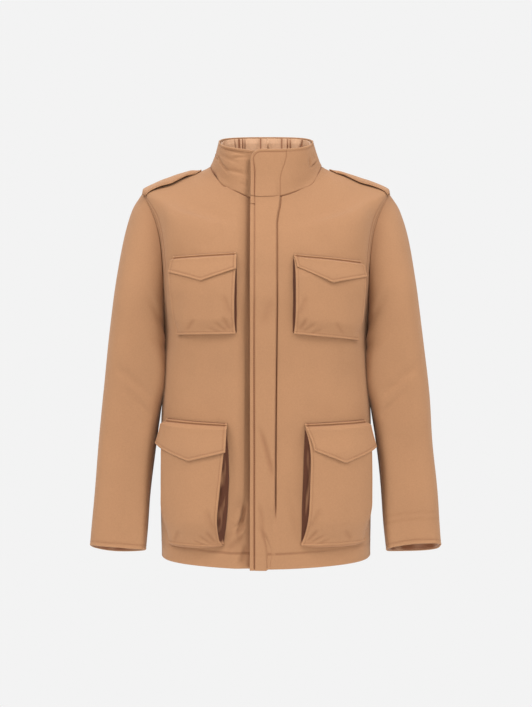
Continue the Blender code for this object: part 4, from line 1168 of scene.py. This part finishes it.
def build_collar(name):
    levels = NECK + (COLLAR_TOP - NECK) * stations(COLLAR_TOP - NECK, FINE_GRAIN)
    start = centre_angle(tab_seam(levels), levels)
    end = FULL + centre_angle(COLLAR_UNDERLAP, levels)
    angles = start[:, None] + (end - start)[:, None] * stations(COLLAR_ROUND, COLLAR_STEP)
    around = round_neck(angles)
    drop = NECK_DROP * bell((np.abs(around) - NECK_DROP_AT) / NECK_DROP_WIDTH)
    drop = np.where(around > 0, NECK_DROP_LEFT * drop, drop)
    grid = levels[:, None] - drop * (COLLAR_TOP - levels[:, None]) / (COLLAR_TOP - NECK)
    normals = form_normal(angles, grid)
    points = sunk_under_fly(skin(angles, grid, COLLAR_OUT), normals, angles > math.pi)
    panel = Panel(points)
    creases = crease_lift(around, grid - NECK, COLLAR_CREASES)
    panel.lift(creases + soft_swell("collar", points))
    panel.find_normals()
    panel.seam(panel.low, depth=0.0010)
    dent = bell((around - DENT_AT) / DENT_WIDTH) * bell(panel.low / DENT_TALL)
    panel.lift(-DENT_DEPTH * dent)
    dark = bell((around - LINE_AT) / LINE_WIDTH) * bell(panel.low / LINE_TALL)
    panel.rub -= DENT_SHADE * dent + LINE_SHADE * dark
    panel.seam(panel.left, **TAB_EDGE)
    # takes back part of the seam's painted shade
    panel.darken(panel.left, share=-0.4, width=TAB_EDGE["width"])
    panel.welt(panel.high, COLLAR_LINE, height=0.0005)
    cloth(name, panel, SHELL_CLOTH, SHELL_CLOTH)
    sew_edges("collar", panel, ["high"], COLLAR_LINE)


def build_collar_tab(name):
    share, rise = np.meshgrid(stations(TAB_WIDE, FINE_GRAIN), stations(TAB_TALL, FINE_GRAIN))
    base = NECK + (COLLAR_TOP - NECK) * rise
    x = FLY_EDGE + (tab_seam(base) - FLY_EDGE) * share
    into = np.clip((FLY_EDGE + TAB_RADIUS - x) / TAB_RADIUS, 0.0, 1.0)
    top = COLLAR_TOP - TAB_RADIUS * (1 - np.sqrt(1 - into**2))
    level = NECK + (top - NECK) * rise
    stand = STAND * (1 - ease(rise / 0.5)) * ease((tab_seam(base) - x) / 0.012)
    points = skin(centre_angle(x, level), level, TAB_OUT + stand)
    panel = Panel(points)
    panel.lift(soft_swell("collar_tab", points))
    panel.find_normals()
    panel.seam(panel.low, depth=0.0006, share=0.5 * ease((x + 0.010) / 0.010))
    panel.seam(panel.right, **TAB_EDGE)
    # takes back part of the seam's painted shade
    panel.darken(panel.right, share=-0.3, width=TAB_EDGE["width"])
    beside, below = x - FLY_EDGE, COLLAR_TOP - level
    corner = np.hypot(np.maximum(TAB_RADIUS - beside, 0), np.maximum(TAB_RADIUS - below, 0))
    edge = np.where(corner > 0, TAB_RADIUS - corner, np.minimum(beside, below))
    line = FLY_LINE + (TAB_LINE_TOP - FLY_LINE) * ease((rise - 0.55) / 0.4)
    panel.welt(edge, line, height=0.0006)
    high = ease((rise - 0.6) / 0.3)
    panel.groove(edge - line, depth=0.0010, share=1 - 0.6 * high)
    # painted shade along the sewn line, less near the top
    panel.darken(edge - line, share=0.5 * (1 - 0.7 * high), width=0.0009)
    cloth(name, panel, SHELL_CLOTH, SHELL_CLOTH)


def build_loop(name):
    """A small loop of cloth that hangs beside the fly."""
    share, rise = np.meshgrid(stations(LOOP_WIDE, 0.001), stations(LOOP_TALL, FINE_GRAIN))
    round_end = np.sqrt(1 - np.clip(1 - rise * LOOP_TALL / (LOOP_WIDE / 2), 0, 0.999) ** 2)
    x = LOOP_X + (share - 0.5) * LOOP_WIDE * round_end
    z = LOOP_Z + rise * LOOP_TALL
    level = level_where(np.zeros(z.shape), z, 0.0, SHOULDER, height_of)
    points = skin(centre_angle(x, level), level, LOOP_OUT - 0.003 * rise)
    panel = Panel(points)
    panel.welts(("left", "right"), 0.0020)
    panel.groove(panel.low - LOOP_LINE, depth=0.0012)
    hanging = ease((LOOP_LINE - panel.low) / 0.002)
    # painted shade between its two layers, below its sewn line
    panel.darken(share - 0.5, share=0.7 * hanging, width=0.13)  # between its two layers
    cloth(name, panel, SHELL_CLOTH, SHELL_CLOTH, nodes=[])


def build_collar_lining(name):
    """The quilted inside of the collar, whose thickness swells between its sewn lines."""
    levels = np.linspace(LINING_LOW, LINING_HIGH, 46)
    start, end = centre_angle(LINING_LEFT, levels), FULL - centre_angle(LINING_RIGHT, levels)
    angles = start[:, None] + (end - start)[:, None] * np.linspace(0, 1, 420)
    grid = np.broadcast_to(levels[:, None], angles.shape)
    normals = form_normal(angles, grid)
    back = skin(angles, grid) + normals * (-SHELL - LAP_GAP)
    back = sunk_under_fly(back, normals, angles > math.pi)
    swell = np.abs(np.sin(math.pi * (angles - CHANNEL_LINE) / CHANNEL_TURN)) ** PUFF_POWER
    rise = (grid - LINING_LOW) / (LINING_HIGH - LINING_LOW)
    ends = np.minimum(1.0, 5 * rise + 0.3) * np.minimum(1.0, 6 * (1 - rise) + 0.2)
    thick = VALLEY + (PUFF - VALLEY) * swell * ends
    gathers = unevenness(back, 0.007, 23, upright=0.3)
    creases = crease_lift((angles - math.pi) * LINING_RADIUS, grid - NECK, LINING_CREASES)
    thick = np.maximum(thick + GATHER * gathers * (0.3 + 0.7 * swell) + creases, THINNEST)
    panel = Panel((back - normals * thick[..., None])[:, ::-1])
    # painted shade along the sewn channel lines and in the creases' troughs, painted highlight on
    # their ridges
    panel.rub = (np.minimum(creases / 0.0030, 0.5) - 1.2 * bell(swell / 0.25))[:, ::-1]
    cloth(name, panel, SATIN, SATIN, wall=VALLEY * 0.6)


# ---------------- pockets
def pocket_place(pocket, u, v):
    """Across and height on the front: u is -1 to 1 from the inner edge, v is 0 to 1 from the
    bottom."""
    share = (u + 1) / 2
    inner = pocket["inner_low"] + (pocket["inner_high"] - pocket["inner_low"]) * v
    outer = pocket["outer_low"] + (pocket["outer_high"] - pocket["outer_low"]) * v
    low = pocket["low_inner"] + (pocket["low_outer"] - pocket["low_inner"]) * share
    high = pocket["high_inner"] + (pocket["high_outer"] - pocket["high_inner"]) * share
    return inner + (outer - inner) * share, low + (high - low) * v


def pocket_lean(pocket, u, v):
    """How far the bag is pulled to the side, most at its inner edge."""
    v = np.clip(v, 0, 1) ** (math.log(0.5) / math.log(pocket["lean_at"]))
    return pocket["lean"] * (1 - u) / 2 * (1 - np.abs(2 * v - 1) ** pocket["lean_flat"])


def pocket_stand(pocket, u, v):
    """How far the bag's outer face stands off the front."""
    corner = np.abs(u) ** 4 * (1 - ease(v / TACK_TALL))
    mouth = 1 - BAG_MOUTH * ease((v - 1 + MOUTH_TALL) / MOUTH_TALL)
    bottom = BAG_FOOT + (1 - BAG_FOOT) * ease(v / FOOT_TALL)
    crown = 1 + BAG_CROWN * (1 - u**2)
    full = pocket["stand"] * (1 - BAG_TACK * corner) * mouth * bottom * crown
    return np.maximum(full, SHELL + 3 * LAP_GAP)


def pocket_point(pocket, u, v, out, inset=0.0, leaning=True):
    """A point of the bag or, where it doesn't lean, above its foot on the front."""
    across, height = pocket_place(pocket, u, v)
    across = across - pocket["bulge"] * (1 - u) / 2 * np.sin(math.pi * np.clip(v, 0, 1))
    if leaning:
        across = across + pocket_lean(pocket, u, v)
    across = across - inset * np.sign(u) * (np.abs(u) >= 1)
    height = height + inset * (v <= 0)
    return on_front(pocket["side"], across, height, out)


def build_bag(pocket):
    tall = pocket["high_inner"] - pocket["low_inner"]
    across = stations(POCKET_WIDE, POCKET_STEP) * 2 - 1
    u, v = np.meshgrid(across, stations(tall, POCKET_STEP, fine_high=False))
    points = pocket_point(pocket, u, v, pocket_stand(pocket, u, v))[:, :: pocket["side"]]
    panel = Panel(points)
    panel.lift(soft_swell("bag", points, pocket["side"]))
    inward = panel.left if pocket["side"] > 0 else panel.right
    puckers = crease_lift(inward, panel.low, BAG_PUCKERS)
    panel.lift(puckers)
    # painted shade in the puckers' troughs, and a slight painted highlight on their ridges
    panel.rub += np.clip(puckers / FINE_CREASE_SHADE, DARKEST["bag"], 0.1)
    panel.find_normals()
    panel.welts(POCKET_EDGES, BAG_LINE)
    cloth(pocket["name"] + "_bag", panel, SHELL_CLOTH, GUSSET_CLOTH)
    sew_edges("pocket", panel, POCKET_EDGES, BAG_LINE)


def build_gusset(pocket):
    """The crumpled bellows round the bag's sides and bottom."""
    tall = pocket["high_inner"] - pocket["low_inner"]
    down = 1 - stations(tall, GUSSET_STEP, fine_low=False, fine_high=False)
    bottom = stations(POCKET_WIDE, GUSSET_STEP, fine_low=False, fine_high=False)[1:-1] * 2 - 1
    u = np.concatenate([-np.ones(len(down)), bottom, np.ones(len(down))])
    v = np.concatenate([down, np.zeros(len(bottom)), down[::-1]])
    reach = pocket_stand(pocket, u, v) - SHELL
    shares = np.linspace(0, 1, GUSSET_ROWS)
    rows = []
    for share in shares:
        fold = math.sin(math.pi * share)
        bottom_end = (1 - u**4) * (v <= 0)
        beside = GUSSET_FOLD * ease(v / 0.1) - pocket["sag"] * bottom_end
        foot = np.where(v <= 0, pocket["under"], pocket["tuck"])
        inset = foot * (1 - share) + GUSSET_INSET + beside * fold
        low = pocket_point(pocket, u, v, LAP_GAP + reach * share, inset, leaning=False)
        high = pocket_point(pocket, u, v, LAP_GAP + reach * share, inset)
        rows.append(low + (high - low) * ease((share - LEAN_FROM) / LEAN_OVER))
    points, v = np.stack(rows)[:, :: -pocket["side"]], v[:: -pocket["side"]]
    panel = Panel(points)
    middle = np.sin(shares * math.pi)[:, None]
    crumple = unevenness(points, 0.005, 41 + pocket["side"], upright=0.22)
    panel.lift(CRUMPLE * crumple * middle * ease(v / 0.06))
    # painted shade all over, deeper at both edges and towards the bottom, but not under the bag;
    # lighter on the crumples' humps and darker in their hollows
    ends = 0.9 * bell(shares / 0.14) + 0.5 * bell((1 - shares) / 0.12)
    low = 0.3 * (1 - np.clip(v, 0, 1))
    shade = GUSSET_SHADE - CRUMPLE_SHADE * crumple * middle + low + ends[:, None]
    panel.rub = -shade * ease((v - 0.01) / 0.05)
    panel.find_normals()
    cloth(pocket["name"] + "_gusset", panel, GUSSET_CLOTH, GUSSET_CLOTH, wall=LIGHT)


def build_flap(pocket):
    """A flap with a pointed lower edge, from its seam on the front over the bag's mouth."""
    inner, outer = pocket["flap_inner"], pocket["flap_outer"]
    # rows run from FLAP_ROWS at the lower edge to 0 at the seam, close together from 1.8 up,
    # where the flap rises from the front in two steps
    rows = stations(FLAP_TALL, FINE_GRAIN)[::-1] * FLAP_ROWS
    rows = np.concatenate([rows[rows > 1.85], np.arange(1.8, -0.01, -0.1)])
    u, row = np.meshgrid(stations(POCKET_WIDE, POCKET_STEP) * 2 - 1, np.maximum(rows, 0.0))
    side = inner + (outer - inner) * (u + 1) / 2
    drop = side + (pocket["flap_point"] - (inner + outer) / 2) * (1 - np.abs(u))
    lower = FLAP_RISE + (drop - FLAP_RISE) * (row - 1) / (FLAP_ROWS - 1)
    below_seam = np.where(row < 1, FLAP_RISE * row, lower)
    v = 1 + (FLAP_ABOVE - below_seam) / (pocket["high_inner"] - pocket["low_inner"])
    across, height = pocket_place(pocket, u, v)
    wider = np.where(u < 0, pocket["over_inner"], pocket["over_outer"]) * (row / FLAP_ROWS) * u
    bulge = pocket["bulge"] * (1 - u) / 2 * np.sin(math.pi * np.clip(v, 0, 1))
    narrower = pocket["narrow"] * (1 - row / FLAP_ROWS) * (u + 1) / 2
    across = across + pocket_lean(pocket, u, v) - bulge + wider - narrower
    rise = FLAP_STEP * ease(row / 0.5) + (1 - FLAP_STEP) * ease((row - 0.65) / 0.9)
    out = SHELL + LAP_GAP + pocket_stand(pocket, u, np.minimum(v, 1.0)) * rise
    points = on_front(pocket["side"], across, height, out)[:, :: pocket["side"]]
    panel = Panel(points)
    panel.lift(soft_swell("flap", points, pocket["side"]))
    panel.find_normals()
    panel.welts(POCKET_EDGES, FLAP_LINE)
    panel.seam(panel.high, depth=0.0010, width=0.0011)
    # a line of painted shade along the flap's seam
    panel.darken(panel.high, share=pocket["top_line_shade"], width=0.0022)
    band = below_seam[:, :: pocket["side"]] - FLAP_BAND
    panel.ridge(band, height=-0.0014, width=FLAP_BAND_WIDTH)
    # painted shade in the sunk line under the seam
    panel.darken(band, share=0.65, width=FLAP_BAND_WIDTH)
    cloth(pocket["name"] + "_flap", panel, SHELL_CLOTH, GUSSET_CLOTH)
    sew_edges("pocket", panel, POCKET_EDGES, FLAP_LINE)


# ---------------- shoulder straps
def build_strap(strap):
    aside = stations(STRAP_WIDE, STRAP_STEP) * 2 - 1
    along, aside = np.meshgrid(stations(STRAP_LONG, STRAP_STEP), aside)
    inner_end = strap["inner_x"] + STRAP_POINT * aside**2
    x = STRAP_OUTER + (inner_end - STRAP_OUTER) * along
    middle_y = (strap["front_y"] + strap["back_y"]) / 2 + strap["swing"] * along
    half = (strap["back_y"] - strap["front_y"]) / 2
    half = half + STRAP_FLARE * (1 - ease(along / STRAP_SPREAD))
    taper = STRAP_TAPER * ease((along - STRAP_TAPER_FROM) / (1 - STRAP_TAPER_FROM))
    y = middle_y + (half - taper * (1 - aside) / 2) * aside
    angle = np.arctan2(x, -y)
    level = level_where(angle, nearness(np.stack([x, y], axis=-1)), SHOULDER, NECK, nearness)
    tip = 1 - STRAP_TIP * ease((along - STRAP_TIP_FROM) / (1 - STRAP_TIP_FROM))
    lift = strap["lift"] * ease(along / STRAP_SPREAD) * tip * (1 - STRAP_CROWN * aside**2)
    points = flip(skin(angle, level, SHELL + LAP_GAP + lift), strap["side"])
    points = points[:, :: -strap["side"]]
    panel = Panel(points)
    panel.lift(soft_swell("epaulette", points, strap["side"]))
    panel.find_normals()
    tip_edge, under = ("left", "left_front") if strap["side"] > 0 else ("right", "right_front")
    edges = ("low", "high", tip_edge)
    panel.welts(edges, STRAP_LINE)
    cloth(strap["name"], panel, SHELL_CLOTH, SHELL_CLOTH)
    sew_edges("strap", panel, edges, STRAP_LINE)


# ---------------- the jacket
def build_jacket():
    build_back("back")
    for side, hand in ((-1, "right"), (1, "left")):
        build_front(hand + "_front", side)
        build_sleeve(hand + "_sleeve", side)
        build_cuff_lining(hand + "_cuff_lining", side)
    build_placket("placket")
    build_collar("collar")
    build_collar_tab("collar_tab")
    build_loop("fly_loop")
    build_collar_lining("collar_lining")
    for row in STRAP_ROWS:
        build_strap(dict(zip(STRAP_COLUMNS, row)))
    for row in POCKET_ROWS:
        pocket = dict(zip(POCKET_COLUMNS, row))
        build_bag(pocket)
        build_gusset(pocket)
        build_flap(pocket)
    for group, lines in SEWN.items():
        build_stitches(group, lines)


build_jacket()

# ---------------- floor, light and camera
FLOOR_Z, FLOOR_RADIUS = -1.45, 1.6
CAMERA_BACK, CAMERA_Z = 2.6, -0.343
PIXEL, WIDTH_PIXELS = 0.00185, 532  # size of a pixel at the neck's depth, and how many across
SENSOR = 36.0
LIGHTS = (  # name, watts, size, place
    ("right_soft_key", 172.0, 2.4, (-2.90, -2.60, 4.20)),
    ("left_soft_key", 172.0, 2.4, (2.90, -2.60, 4.20)),
    ("front_fill", 40.0, 3.0, (0.0, -3.8, -0.9)),
    ("back_fill", 90.0, 2.4, (-1.0, 4.5, 3.2)),
)


def build_floor():
    bm = bmesh.new()
    bmesh.ops.create_circle(bm, cap_ends=True, segments=96, radius=FLOOR_RADIUS)
    bmesh.ops.translate(bm, verts=bm.verts, vec=(0, 0, FLOOR_Z))
    put_mesh("floor", bm, plain("pale_floor", PAPER, 0.9))


def aim(item, place, target):
    item.location = place
    item.rotation_euler = (Vector(target) - Vector(place)).to_track_quat("-Z", "Y").to_euler()


def build_light(name, energy, size, place):
    lamp = bpy.data.lights.new(name, "AREA")
    lamp.energy, lamp.size = energy, size
    aim(put(name, lamp), place, (0, 0, -0.35))


def build_camera():
    lens = bpy.data.cameras.new("camera")
    lens.sensor_fit, lens.sensor_width = "HORIZONTAL", SENSOR
    lens.lens = SENSOR * CAMERA_BACK / (WIDTH_PIXELS * PIXEL)
    camera = put("camera", lens)
    aim(camera, (0, -CAMERA_BACK, CAMERA_Z), (0, 0, CAMERA_Z))
    bpy.context.scene.camera = camera


def build_surroundings():
    world = bpy.data.worlds.new("surroundings")
    world.use_nodes = True
    air = world.node_tree.nodes["Background"].inputs
    air["Color"].default_value, air["Strength"].default_value = (*PAPER, 1.0), 1.0
    bpy.context.scene.world = world
    bpy.context.scene.view_settings.view_transform = "Standard"


build_floor()
build_surroundings()
for light in LIGHTS:
    build_light(*light)
build_camera()
